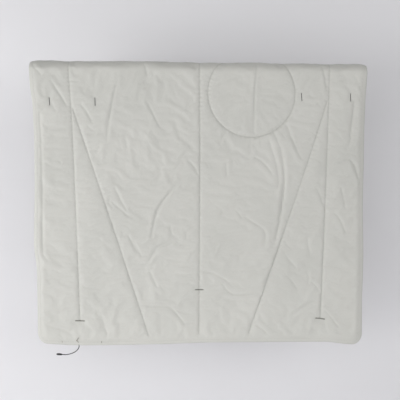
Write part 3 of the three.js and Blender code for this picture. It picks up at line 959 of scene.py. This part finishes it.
def sewn_piece(name, places, thickness):
    """One mesh of many stitches. A place is (one end, other end, normal) in the room."""
    points, faces = [], []
    for start, end, up in places:
        along = end - start
        side = np.cross(up, along)
        side /= np.linalg.norm(side)
        rise = np.cross(along / np.linalg.norm(along), side)
        axes = np.stack([along, side * thickness, rise * thickness])
        base = len(points) * len(stitch_points)
        points.append((start + end) / 2 + stitch_points @ axes)
        faces += [tuple(i + base for i in f) for f in stitch_faces]
    piece = new_piece(name, np.concatenate(points).tolist(), faces)
    bpy.ops.object.shade_smooth()
    return piece


# %% [markdown]
# ## Seams
#
# Long stitches, about 24 to 10 cm, hold a padded cloth without cutting it. They lie in the
# groove that they pull into the cloth, on the shell's side.

# %% Rows of stitching
PITCH = 4.2 * MM
STITCH = 3.4 * MM
THREAD = 1.1 * MM


def row_places(line, cloth, closed):
    """Places for a row of stitches on one side of the cloth, laid along a line."""
    line, _ = dense(line, closed)
    length = (len(line) - 1) * MM
    count = int(length / PITCH)
    where = (np.arange(count) + 0.5) * PITCH
    marks = np.arange(len(line)) * MM
    for centre in where:
        ends = []
        for offset in (-STITCH / 2, STITCH / 2):
            u = np.interp(centre + offset, marks, line[:, 0])
            v = np.interp(centre + offset, marks, line[:, 1])
            ends.append((u, v))
        (a, up_a), (b, up_b) = cloth.at(*ends[0]), cloth.at(*ends[1])
        up = up_a + up_b
        yield ends[0][1], (a, b, up / np.linalg.norm(up))


def sew_row(name, line, closed=False):
    """The front and back pieces of a row of stitching, on the shell and on the lining."""
    rows = [*row_places(line, shell, closed), *row_places(line, lining, closed)]
    front = [place for v, place in rows if v > PART_V]
    back = [place for v, place in rows if v <= PART_V]
    pieces = [sewn_piece(f"{name}_front", front, THREAD)] if front else []
    if back:
        pieces.append(sewn_piece(f"{name}_back", back, THREAD))
    return pieces


rows = {}
for name, line in seams.items():
    rows[name] = sew_row(f"{name}_stitching", line)
for name, line in closed_seams.items():
    rows[name] = sew_row(f"{name}_stitching", line, closed=True)
print("stitch rows", {name: len(pieces) for name, pieces in rows.items()})

# %% [markdown]
# ## Bar tacks
#
# Where a seam ends, or a loop is sewn on, the machine goes to and fro over one spot until a
# firm bar of thread stands on the cloth. Close threads lie across each bar, over a few long
# ones. The seam ends are sewn in thread of the cloth's own colour, but their bars are coloured
# dark grey, as painted shade on the raised bars. The strap loops are sewn in black.

# %% Bars of close stitches
BAR_PITCH = 0.72 * MM
BAR_THREAD = 0.85 * MM
CORE_LIFT = 0.35 * MM  # how high the long threads lie on the cloth
TOP_LIFT = 0.9 * MM


def bar_tack(name, u, v, long, wide, degrees):
    """A bar of close threads on the shell, centred on (u, v) and turned from the u axis."""
    angle = math.radians(degrees)
    along = np.array((math.cos(angle), math.sin(angle)))
    across = np.array((-along[1], along[0]))
    chance = np.random.default_rng(steady_number(name))
    _, up = shell.at(u, v)
    places = []
    middle = np.array((u, v))
    for side in (-0.22, 0.22):
        for part in range(4):
            starts = (part / 4 - 0.5, part / 4 - 0.5 + 0.29)
            ends = [middle + along * long * start + across * wide * side for start in starts]
            places.append(bar_thread(ends, up, CORE_LIFT))
    count = int(long / BAR_PITCH)
    for i in range(count):
        at = middle + along * long * ((i + 0.5) / count - 0.5)
        lean = along * (0.45 * BAR_PITCH * (-1) ** i)
        half = across * wide * 0.5 * (1 + chance.uniform(-0.09, 0.09))
        places.append(bar_thread([at - half - lean, at + half + lean], up, TOP_LIFT))
    return sewn_piece(name, places, BAR_THREAD)


def steady_number(name):
    """A steady number from a name, for a seed."""
    return sum((i + 1) * ord(letter) for i, letter in enumerate(name))


def bar_thread(ends, up, lift):
    a, b = (shell.at(*end)[0] + up * lift for end in ends)
    return a, b, up


tacks, strap_bars = {}, {}
for name, (u, v, long, wide, degrees) in BARS.items():
    group = strap_bars if "strap" in name else tacks
    group[name] = bar_tack(name, u, v, long, wide, degrees)
exit_low, exit_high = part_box("cord_exit_tack")
exit_middle = (exit_low + exit_high) / 2
exit_u, exit_v = exit_middle[0] - 9 * MM, seam_v(exit_middle[2])
exit_bar = bar_tack("cord_exit_bar", exit_u, exit_v, 17 * MM, 2.2 * MM, -56)
cross_bar = bar_tack("cord_exit_bar_cross", exit_u, exit_v + 7 * MM, 12 * MM, 1.8 * MM, 48)
hem_ticks = []
for i, u in enumerate((-0.357, -0.506)):
    hem_ticks.append(bar_tack(f"hem_tick_{i}", u, FRONT_V - 9 * MM, 7 * MM, 1.6 * MM, 86))
print(len(tacks) + len(strap_bars) + 1, "bars")

# %% [markdown]
# ## Strap loops
#
# Inside the quilt two loops of webbing lie across the side seams, so that a strap round a
# sleeping pad can be threaded under them. Webbing is a flat weave with round edges. A grid is
# bent to the loop's slack path, given its thickness, and its edges are rounded.

# %% Webbing loops
WEB_THICK = 1.6 * MM


def strap_loop(name, node):
    low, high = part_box(node)
    long, wide = (high - low)[0], (high - low)[2]
    middle = (low + high) / 2
    deselect()
    bpy.ops.mesh.primitive_grid_add(x_subdivisions=96, y_subdivisions=14, size=1)
    piece = bpy.context.object
    piece.name = name
    mesh = piece.data
    flat = np.array([v.co for v in mesh.vertices])
    bow = (high - low)[1] - WEB_THICK
    out = np.abs(flat[:, 0]) * long
    rise = np.clip((long / 2 - 20 * MM - out) / (16 * MM), 0, 1)
    rise = rise * rise * (3 - 2 * rise)
    twist = 0.6 * MM * np.sin(flat[:, 0] * 7 + middle[0] * 9) * flat[:, 1] * 2
    room = np.stack(
        [
            middle[0] + flat[:, 0] * long,
            low[1] + WEB_THICK / 2 + rise * bow * 0.94 + twist * rise,
            middle[2] + flat[:, 1] * wide,
        ],
        1,
    )
    web_map = mesh.uv_layers.active or mesh.uv_layers.new(name="cloth")
    web_map.name = "cloth"
    corners = np.zeros(len(mesh.loops), np.int32)
    mesh.loops.foreach_get("vertex_index", corners)
    web_map.data.foreach_set("uv", (flat[corners][:, :2] * (long, wide)).astype(np.float32).ravel())
    mesh.vertices.foreach_set("co", room.ravel())
    mesh.update()
    solidify = piece.modifiers.new("thickness", "SOLIDIFY")
    solidify.thickness = WEB_THICK
    solidify.offset = 0
    bpy.ops.object.modifier_apply(modifier=solidify.name)
    bevel = piece.modifiers.new("round_edges", "BEVEL")
    bevel.width = 0.5 * MM
    bevel.segments = 3
    bevel.limit_method = "ANGLE"
    bpy.ops.object.modifier_apply(modifier=bevel.name)
    turn_faces_outwards()
    bpy.ops.object.shade_smooth_by_angle(angle=math.radians(40))
    piece.location = (0, 0, 0)
    return piece


loops = {side: strap_loop(f"{side}_webbing_loop", f"{side}_strap_loop") for side in ("left", "right")}

# %% [markdown]
# ## The drawcord's tail
#
# The cord comes out of a thread-worked eyelet in the hem, straight down, and springs round to
# the left. It is a round braid: two sets of strands wind round it in opposite directions and
# pass over each other. A tube is built along its path, and the strands are raised on it.

# %% Cord
hem_z = shell_low[2]
cord_low, cord_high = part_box("drawcord_reserve")
CORD_D = cord_high[0] - cord_low[0]
exit_x = (cord_low[0] + cord_high[0]) / 2
exit_sag = eased_table(np.array([exit_x]), HEM_SAG)[0]
EXIT = np.array((exit_x, (cord_low[1] + cord_high[1]) / 2, hem_z - exit_sag))
TAIL_ROUTE = (  # mm to the right of the exit, and above it
    (0, 0), (0.3, -7), (-1.6, -14), (-6.6, -21), (-14.5, -27.4), (-24, -32.2), (-35, -35.8),
    (-47, -37.8), (-62, -37.2),
)


def smooth_path(points, steps):
    """A path through the points, smooth at each, as a Catmull-Rom curve is."""
    points = np.array(points, float)
    longer = np.concatenate([[2 * points[0] - points[1]], points, [2 * points[-1] - points[-2]]])
    made = []
    for a, b, c, d in zip(longer, longer[1:], longer[2:], longer[3:]):
        square, cube = 2 * a - 5 * b + 4 * c - d, 3 * b - a - 3 * c + d
        for t in np.linspace(0, 1, steps, endpoint=False):
            made.append(0.5 * (2 * b + (c - a) * t + square * t**2 + cube * t**3))
    made.append(points[-1])
    return np.array(made)


def evenly(path, step):
    lengths = np.linalg.norm(np.diff(path, axis=0), axis=1)
    along = np.concatenate([[0], np.cumsum(lengths)])
    marks = np.linspace(0, along[-1], int(along[-1] / step) + 1)
    return np.stack([np.interp(marks, along, path[:, k]) for k in range(3)], 1), along[-1]


BRAID_SIDES = 32
BRAID_STEP = 0.25 * MM
STRANDS = 8
BRAID_LAY = 9 * MM  # length of one turn of a strand


def braided_cord(name, path):
    """A tube along the path, with the strands of a round braid raised on it."""
    centres, length = evenly(path, BRAID_STEP)
    tangents = np.gradient(centres, axis=0)
    tangents /= np.linalg.norm(tangents, axis=1)[:, None]
    side = np.cross(tangents, (0, 1, 0))
    side /= np.linalg.norm(side, axis=1)[:, None]
    other = np.cross(tangents, side)
    turns = np.arange(BRAID_SIDES) * 2 * math.pi / BRAID_SIDES
    along = np.arange(len(centres)) * BRAID_STEP * 2 * math.pi / BRAID_LAY
    one = np.cos(STRANDS * (turns[None] + along[:, None]))
    two = np.cos(STRANDS * (turns[None] - along[:, None]))
    radius = CORD_D / 2 * (0.975 + 0.045 * np.maximum(one, two) - 0.03 * (one * two))
    ring = np.cos(turns)[None, :, None] * side[:, None] + np.sin(turns)[None, :, None] * other[:, None]
    points = centres[:, None] + ring * radius[..., None]
    faces = []
    for i in range(len(centres) - 1):
        for j in range(BRAID_SIDES):
            k = (j + 1) % BRAID_SIDES
            a, b = i * BRAID_SIDES, (i + 1) * BRAID_SIDES
            faces.append((a + j, a + k, b + k, b + j))
    last = (len(centres) - 1) * BRAID_SIDES
    faces.append(tuple(range(BRAID_SIDES))[::-1])
    faces.append(tuple(last + j for j in range(BRAID_SIDES)))
    piece = new_piece(name, points.reshape(-1, 3).tolist(), faces)
    turn_faces_outwards()
    bpy.ops.object.shade_smooth_by_angle(angle=math.radians(60))
    return piece, length


route = [EXIT + np.array((x, 0, z)) * MM for x, z in TAIL_ROUTE]
tail_path = smooth_path(route, 10)
tail, tail_length = braided_cord("cord_tail", tail_path)
print("cord tail is", round(tail_length * 1000), "mm long")
inside_top = np.array((EXIT[0], EXIT[1], cord_high[2]))
inside_low = EXIT + (0, 0, 0.2 * MM)
reserve, reserve_length = braided_cord("cord_reserve", np.linspace(inside_top, inside_low, 20))
print("cord kept in the hem is", round(reserve_length * 1000), "mm long")

# %% [markdown]
# ## The moulded end
#
# A soft plastic end is moulded over the cord, so that it can be gripped and can't slip back
# through the eyelet. It is a cylinder with loops cut round it, each scaled to the swelling
# outline, which narrows to a small tip.

# %% Moulded end
END_LENGTH = 21  # mm
END_OUTLINE = (  # mm along the end, and its radius there
    (0, 2.1), (0.6, 2.5), (2.2, 2.7), (5, 3.35), (8.4, 3.75), (13.6, 3.75), (17.2, 3.3),
    (19.6, 2.8), (20.7, 2.2), (END_LENGTH, 1.3),
)
END_GRIPS = ((7.6, 0.35), (9.6, 0.35), (11.6, 0.35))
heading = tail_path[-1] - tail_path[-3]
heading /= np.linalg.norm(heading)
deselect()
bpy.ops.mesh.primitive_cylinder_add(vertices=40, radius=1, depth=END_LENGTH, end_fill_type="NGON")
moulded = bpy.context.object
moulded.name = "moulded_cord_end"
bpy.ops.object.mode_set(mode="EDIT")
for cut in np.arange(0.5, END_LENGTH, 0.5):
    bpy.ops.mesh.select_all(action="SELECT")
    bpy.ops.mesh.bisect(plane_co=(0, 0, cut - END_LENGTH / 2), plane_no=(0, 0, 1))
bpy.ops.mesh.select_all(action="DESELECT")
bpy.ops.object.mode_set(mode="OBJECT")
grip = np.array([v.co for v in moulded.data.vertices])
along = grip[:, 2] + END_LENGTH / 2
outline = np.array(END_OUTLINE)
swell = np.interp(along, outline[:, 0], outline[:, 1])
for place, depth in END_GRIPS:
    swell -= depth * np.exp(-(((along - place) / 0.45) ** 2))
grip[:, :2] *= swell[:, None]
grip[:, 2] = along
frame_z = Vector(heading).to_track_quat("Z", "Y").to_matrix()
start = tail_path[-1] - heading * 1.2 * MM
room = grip * MM @ np.array(frame_z).T + start
moulded.data.vertices.foreach_set("co", room.ravel())
moulded.location = (0, 0, 0)
moulded.data.update()
bevel = moulded.modifiers.new("soft_edges", "BEVEL")
bevel.width = 0.3 * MM
bevel.segments = 3
bevel.limit_method = "ANGLE"
bevel.angle_limit = math.radians(50)
bpy.ops.object.modifier_apply(modifier=bevel.name)
bpy.ops.object.shade_smooth_by_angle(angle=math.radians(35))
print("moulded end", len(moulded.data.polygons), "faces")

# %% [markdown]
# ## Eyelet
#
# The hole in the hem is worked with thread, like a buttonhole: close stitches radiate round
# it. Each is the same stitch as before, laid across the ring.

# %% Thread-worked eyelet
eyelet_low, eyelet_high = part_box("cord_eyelet")
ring_middle = np.array((eyelet_low + eyelet_high) / 2) - (0, 0, exit_sag)
inner_r = 2.5 * MM
outer_r = (eyelet_high - eyelet_low)[0] / 2
eyelet_places = []
for turn in np.linspace(0, 2 * math.pi, 44, endpoint=False):
    out = np.array((math.cos(turn), math.sin(turn) * 0.84, 0))
    down = np.array((0, 0, -1.0))
    inner_end = ring_middle + out * inner_r
    outer_end = ring_middle + out * outer_r - down * 0.5 * MM
    eyelet_places.append((inner_end, outer_end, down))
eyelet = sewn_piece("worked_eyelet", eyelet_places, 0.8 * MM)

# %% [markdown]
# # Finishes
#
# ## Shared effects
#
# Cloth needs the same few effects more than once: the over-and-under of the weave, tiny
# crinkles, and light soiling. Each is a node group with its own inputs, so every material
# can use it with its own values. They read the cloth's own map, in metres, so the pattern
# bends with the cloth.


# %% Node helpers
def node_group(name, inputs, outputs):
    """An empty node group with its sockets, and its input and output nodes."""
    made = bpy.data.node_groups.new(name, "ShaderNodeTree")
    for kind, direction in ((inputs, "INPUT"), (outputs, "OUTPUT")):
        for label, socket, *value in kind:
            made_socket = made.interface.new_socket(label, in_out=direction, socket_type=socket)
            if value:
                made_socket.default_value = value[0]
    return made, made.nodes.new("NodeGroupInput"), made.nodes.new("NodeGroupOutput")


def put(tree, value, socket):
    """Sets a socket to a number or colour, or links another socket to it."""
    if isinstance(value, (int, float, tuple)):
        socket.default_value = value
    else:
        tree.links.new(value, socket)


def math_node(tree, operation, first, second=None, third=None):
    """A Math node with numbers or sockets put in."""
    made = tree.nodes.new("ShaderNodeMath")
    made.operation = operation
    for socket, value in zip(made.inputs, (first, second, third)):
        if value is not None:
            put(tree, value, socket)
    return made.outputs[0]


def mix_colour(tree, share, first, second, kind="MIX"):
    """A Mix node for colours with numbers, colours or sockets put in."""
    made = tree.nodes.new("ShaderNodeMix")
    made.data_type = "RGBA"
    made.blend_type = kind
    put(tree, share, made.inputs["Factor"])
    put(tree, first, made.inputs[6])
    put(tree, second, made.inputs[7])
    return made.outputs[2]


def noise_node(tree, vector, scale, detail, roughness=0.5):
    """The outputs of a Noise texture that is read at a vector."""
    made = tree.nodes.new("ShaderNodeTexNoise")
    made.inputs["Detail"].default_value = detail
    made.inputs["Roughness"].default_value = roughness
    tree.links.new(vector, made.inputs["Vector"])
    put(tree, scale, made.inputs["Scale"])
    return made.outputs


def bump_node(tree, height, distance, strength, below=None):
    """The normal from a Bump node, laid over that of the one below."""
    made = tree.nodes.new("ShaderNodeBump")
    made.inputs["Distance"].default_value = distance
    made.inputs["Strength"].default_value = strength
    tree.links.new(height, made.inputs["Height"])
    if below:
        tree.links.new(below, made.inputs["Normal"])
    return made.outputs["Normal"]


# %% Weave
def make_weave():
    """Height of a plain weave: warp and weft threads pass over each other in turn."""
    tree, given, result = node_group(
        "plain_weave",
        [("Vector", "NodeSocketVector"), ("Threads per metre", "NodeSocketFloat", 1800.0)],
        [("Height", "NodeSocketFloat")],
    )
    split = tree.nodes.new("ShaderNodeSeparateXYZ")
    tree.links.new(given.outputs["Vector"], split.inputs[0])
    waves = []
    for axis in (0, 1):
        threads = math_node(tree, "MULTIPLY", split.outputs[axis], given.outputs["Threads per metre"])
        waves.append(math_node(tree, "SINE", math_node(tree, "MULTIPLY", threads, math.pi)))
    over = math_node(tree, "MULTIPLY", *waves)
    ridge = math_node(tree, "MAXIMUM", *[math_node(tree, "ABSOLUTE", wave) for wave in waves])
    height = math_node(tree, "MULTIPLY_ADD", over, 0.35, ridge)
    tree.links.new(height, result.inputs["Height"])
    return tree


def make_crinkle():
    """Height of the fine crinkles that thin nylon keeps, as creased facets and soft noise."""
    tree, given, result = node_group(
        "fine_crinkle",
        [("Vector", "NodeSocketVector"), ("Scale", "NodeSocketFloat", 60.0)],
        [("Height", "NodeSocketFloat"), ("Mask", "NodeSocketFloat")],
    )
    warp = noise_node(tree, given.outputs["Vector"], 22, 3)
    shift = tree.nodes.new("ShaderNodeVectorMath")
    shift.operation = "MULTIPLY_ADD"
    shift.inputs[1].default_value = (0.05, 0.05, 0)
    tree.links.new(warp["Color"], shift.inputs[0])
    tree.links.new(given.outputs["Vector"], shift.inputs[2])
    facets = tree.nodes.new("ShaderNodeTexVoronoi")
    facets.feature = "DISTANCE_TO_EDGE"
    tree.links.new(shift.outputs[0], facets.inputs["Vector"])
    tree.links.new(given.outputs["Scale"], facets.inputs["Scale"])
    soft_scale = math_node(tree, "MULTIPLY", given.outputs["Scale"], 1.6)
    soft = noise_node(tree, shift.outputs[0], soft_scale, 5, 0.6)
    edge = math_node(tree, "POWER", facets.outputs["Distance"], 0.6)
    total = math_node(tree, "MULTIPLY_ADD", edge, 0.7, soft["Fac"])
    tree.links.new(total, result.inputs["Height"])
    tree.links.new(soft["Fac"], result.inputs["Mask"])
    return tree


def make_soiling():
    """Mask of light soiling and of uneven dye, from 0 to 1, in large soft patches."""
    tree, given, result = node_group(
        "soft_patches",
        [("Vector", "NodeSocketVector"), ("Scale", "NodeSocketFloat", 5.0)],
        [("Patches", "NodeSocketFloat"), ("Specks", "NodeSocketFloat")],
    )
    large = noise_node(tree, given.outputs["Vector"], given.outputs["Scale"], 3)
    fine = noise_node(tree, given.outputs["Vector"], 420, 2)
    spread = math_node(tree, "MULTIPLY", math_node(tree, "SUBTRACT", large["Fac"], 0.32), 2.6)
    patches = math_node(tree, "MINIMUM", math_node(tree, "MAXIMUM", spread, 0), 1)
    tree.links.new(patches, result.inputs["Patches"])
    tree.links.new(fine["Fac"], result.inputs["Specks"])
    return tree


WEAVE, CRINKLE, PATCHES = make_weave(), make_crinkle(), make_soiling()
print("effects:", WEAVE.name, CRINKLE.name, PATCHES.name)


# %% [markdown]
# ## Nylon for the shell and the lining
#
# The cloth is thin woven nylon in a pale sage grey. It has a soft satin sheen, because its
# threads are smooth, and its colour drifts a little from place to place. The lining is the
# same cloth with less finish on it. The weave itself is finer than a third of a millimetre.


# %% Cloth materials
def use_group(tree, group, label, value, vector):
    """A node group read at a vector, with one of its inputs set."""
    made = tree.nodes.new("ShaderNodeGroup")
    made.node_tree = group
    made.inputs[label].default_value = value
    tree.links.new(vector, made.inputs["Vector"])
    return made.outputs


def cloth_material(name, pale, deep, roughness, sheen, crinkle_mm, threads, weave_mm=0.05, weave=0.5):
    """Woven cloth: colours, roughness, sheen, depth of crinkles, threads per metre and relief."""
    made = bpy.data.materials.new(name)
    made.use_nodes = True
    tree = made.node_tree
    shader = tree.nodes["Principled BSDF"]
    cloth_uv = tree.nodes.new("ShaderNodeUVMap")
    cloth_uv.uv_map = "cloth"
    vector = cloth_uv.outputs["UV"]
    patches = use_group(tree, PATCHES, "Scale", 4.2, vector)
    threads = use_group(tree, WEAVE, "Threads per metre", threads, vector)
    crinkle = use_group(tree, CRINKLE, "Scale", 48.0, vector)
    colour = mix_colour(tree, patches["Patches"], (*pale, 1), (*deep, 1))
    fleck = math_node(tree, "MULTIPLY_ADD", patches["Specks"], 0.12, 0.94)
    colour = mix_colour(tree, 1, colour, fleck, "MULTIPLY")
    # Painted shade: the cloth is darkened by up to 9% in each seam's groove, where shade falls.
    seam = tree.nodes.new("ShaderNodeAttribute")
    seam.attribute_name = "near_seam"
    painted_seam_shade = math_node(tree, "MULTIPLY_ADD", seam.outputs["Fac"], -0.09, 1.0)
    colour = mix_colour(tree, 1, colour, painted_seam_shade, "MULTIPLY")
    tree.links.new(colour, shader.inputs["Base Color"])
    rough_value = math_node(tree, "MULTIPLY_ADD", crinkle["Mask"], 0.16, roughness - 0.08)
    tree.links.new(rough_value, shader.inputs["Roughness"])
    shader.inputs["Sheen Weight"].default_value = sheen
    shader.inputs["Sheen Roughness"].default_value = 0.45
    shader.inputs["Specular IOR Level"].default_value = 0.38
    fine = bump_node(tree, threads["Height"], weave_mm * MM, weave)
    coarse = bump_node(tree, crinkle["Height"], crinkle_mm * MM, 0.8, fine)
    tree.links.new(coarse, shader.inputs["Normal"])
    return made


NYLON_THREADS = 1700.0  # per metre
SHELL_PALE, SHELL_DEEP = (0.548, 0.545, 0.511), (0.516, 0.516, 0.483)
LINING_PALE, LINING_DEEP = (0.52, 0.525, 0.48), (0.47, 0.48, 0.44)
shell_cloth = cloth_material("sage_nylon", SHELL_PALE, SHELL_DEEP, 0.50, 0.25, 0.55, NYLON_THREADS)
lining_cloth = cloth_material("lining_nylon", LINING_PALE, LINING_DEEP, 0.60, 0.15, 0.5, NYLON_THREADS)

# %% [markdown]
# ## Thread, webbing, cord and moulded plastic
#
# Thread is twisted, so fine slanted lines run along each stitch. Webbing is a coarse flat
# weave with a rib. The cord's braid is in its mesh, so its material adds only the fibres. The
# moulded end is soft black plastic with a fine grain and a slight shine on its worn edges.


# %% Small materials
def fibre_material(name, pale, deep, roughness, scale, depth_mm, sheen):
    """Twisted or braided fibre, read from the object's own place."""
    made = bpy.data.materials.new(name)
    made.use_nodes = True
    tree = made.node_tree
    shader = tree.nodes["Principled BSDF"]
    place = tree.nodes.new("ShaderNodeTexCoord")
    strands = noise_node(tree, place.outputs["Object"], scale, 4)["Fac"]
    colour = mix_colour(tree, strands, (*pale, 1), (*deep, 1))
    tree.links.new(colour, shader.inputs["Base Color"])
    value = math_node(tree, "MULTIPLY_ADD", strands, 0.2, roughness - 0.1)
    tree.links.new(value, shader.inputs["Roughness"])
    tree.links.new(bump_node(tree, strands, depth_mm * MM, 0.7), shader.inputs["Normal"])
    shader.inputs["Sheen Weight"].default_value = sheen
    return made


WEB_PALE, WEB_DEEP = (0.016, 0.016, 0.018), (0.026, 0.026, 0.028)
webbing = cloth_material("black_webbing", WEB_PALE, WEB_DEEP, 0.72, 0.3, 0.1, 620.0, 0.35, 1.0)
FIBRES = {
    # name: pale and deep colour, roughness, scale, relief mm, sheen
    "seam_thread": ((0.405, 0.405, 0.372), (0.310, 0.312, 0.284), 0.62, 2600, 0.08, 0.2),
    "hem_thread": ((0.500, 0.500, 0.468), (0.430, 0.432, 0.400), 0.62, 2600, 0.08, 0.2),
    # bar_thread is dark grey as painted shade on the raised seam-end bars, whose thread is the cloth's
    # own colour.
    "bar_thread": ((0.300, 0.300, 0.270), (0.190, 0.192, 0.170), 0.60, 2600, 0.08, 0.2),
    "black_thread": ((0.020, 0.020, 0.023), (0.042, 0.040, 0.040), 0.60, 2600, 0.08, 0.2),
    "brown_thread": ((0.170, 0.145, 0.115), (0.270, 0.240, 0.200), 0.65, 2600, 0.08, 0.2),
    "braided_cord": ((0.012, 0.012, 0.014), (0.028, 0.028, 0.031), 0.66, 3200, 0.06, 0.35),
    "moulded_plastic": ((0.012, 0.012, 0.013), (0.020, 0.020, 0.021), 0.42, 1500, 0.03, 0.0),
}
fibres = {name: fibre_material(name, *values) for name, values in FIBRES.items()}


def finish(piece, *materials):
    piece.data.materials.clear()
    for material in materials:
        piece.data.materials.append(material)


for piece in (front_body, back_body):
    finish(piece, shell_cloth, lining_cloth)
for name, pieces in rows.items():
    for piece in pieces:
        finish(piece, fibres["hem_thread" if name == "edge" else "seam_thread"])
for pieces, name in (
    # The seam-end bars take the dark bar_thread: painted shade on the raised bars.
    (tacks.values(), "bar_thread"),
    ([*strap_bars.values(), eyelet], "black_thread"),
    ([exit_bar, cross_bar, *hem_ticks], "brown_thread"),
    ([tail, reserve, frame["nodes"]["drawcord_in_hem"]], "braided_cord"),
    ([moulded], "moulded_plastic"),
):
    for piece in pieces:
        finish(piece, fibres[name])
for piece in loops.values():
    finish(piece, webbing)

# %% [markdown]
# # Putting the pieces on the structure
#
# Most pieces ride on the body that carries them. The front of the quilt's body and the front
# rows of stitching, which cross the fold, ride on no body: their place is baked into their
# mesh. The plain pieces of the structure that a finer one stands for are hidden.

# %% Riding and replacing
ROOT, DROP, CORD = "saddle_and_back", "front_drop", "drawcord"


def put_on(piece, body, slot, *nodes):
    """Rides a piece on a body, or bakes its place into its mesh, and hides what it stands for."""
    if body:
        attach(piece, body)
    else:
        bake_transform(piece)
    if nodes:
        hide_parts(*nodes)


def layers(part):
    return [f"{layer}_{part}" for layer in ("shell", "batt", "lining")]


put_on(front_body, None, "shell_fabric", *layers("front"), *layers("saddle"))
put_on(back_body, ROOT, "shell_fabric", *layers("back"))

seam_nodes = {
    "centre": (["centre_seam_front", "centre_seam_foot_front", "centre_seam_saddle"],
               ["centre_seam_back", "centre_seam_foot_back"]),
    "left_side": (["left_seam_front", "left_seam_saddle"], ["left_seam_back"]),
    "right_side": (["right_seam_front", "right_seam_saddle"], ["right_seam_back"]),
    "left_diagonal": (["left_diagonal_seam"], []),
    "right_diagonal": (["right_diagonal_seam"], []),
    "round": (["round_seam_front", "round_seam_saddle"], []),
    "edge": (["edge_stitching_front", "left_edge_stitching_saddle", "right_edge_stitching_saddle"],
             ["edge_stitching_back"]),
}
for name, (front_nodes, back_nodes) in seam_nodes.items():
    put_on(rows[name][0], None, "thread", *front_nodes)
    for piece in rows[name][1:]:
        put_on(piece, ROOT, "thread", *back_nodes)
for name, piece in tacks.items():
    body_name = DROP if name.endswith("front") else ROOT
    put_on(piece, body_name, "thread", name.replace("_bar_", "_tack_"))
for name, piece in strap_bars.items():
    put_on(piece, DROP, "dark_thread", name.replace("_bar_", "_tack_"))
for side, piece in loops.items():
    put_on(piece, DROP, "webbing", f"{side}_strap_loop")
for piece in (cross_bar, *hem_ticks):
    put_on(piece, DROP, "thread")
put_on(exit_bar, DROP, "dark_thread", "cord_exit_tack")
put_on(eyelet, DROP, "dark_thread", "cord_eyelet")
put_on(reserve, CORD, "cord", "drawcord_reserve")
put_on(tail, CORD, "cord", "drawcord_tail")
put_on(moulded, CORD, "moulded_end", "cord_end")

# %% [markdown]
# ## Checking the size
#
# The visual model has to fill the same box as the structure, apart from a little loft.

# %% Sizes, and the end
visual_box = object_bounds()
sizes = {"cad": cad_box, "visual": visual_box}
{name: [list(map(float, c)) for c in box] for name, box in sizes.items()}
print("cad box", cad_box, "visual box", visual_box)
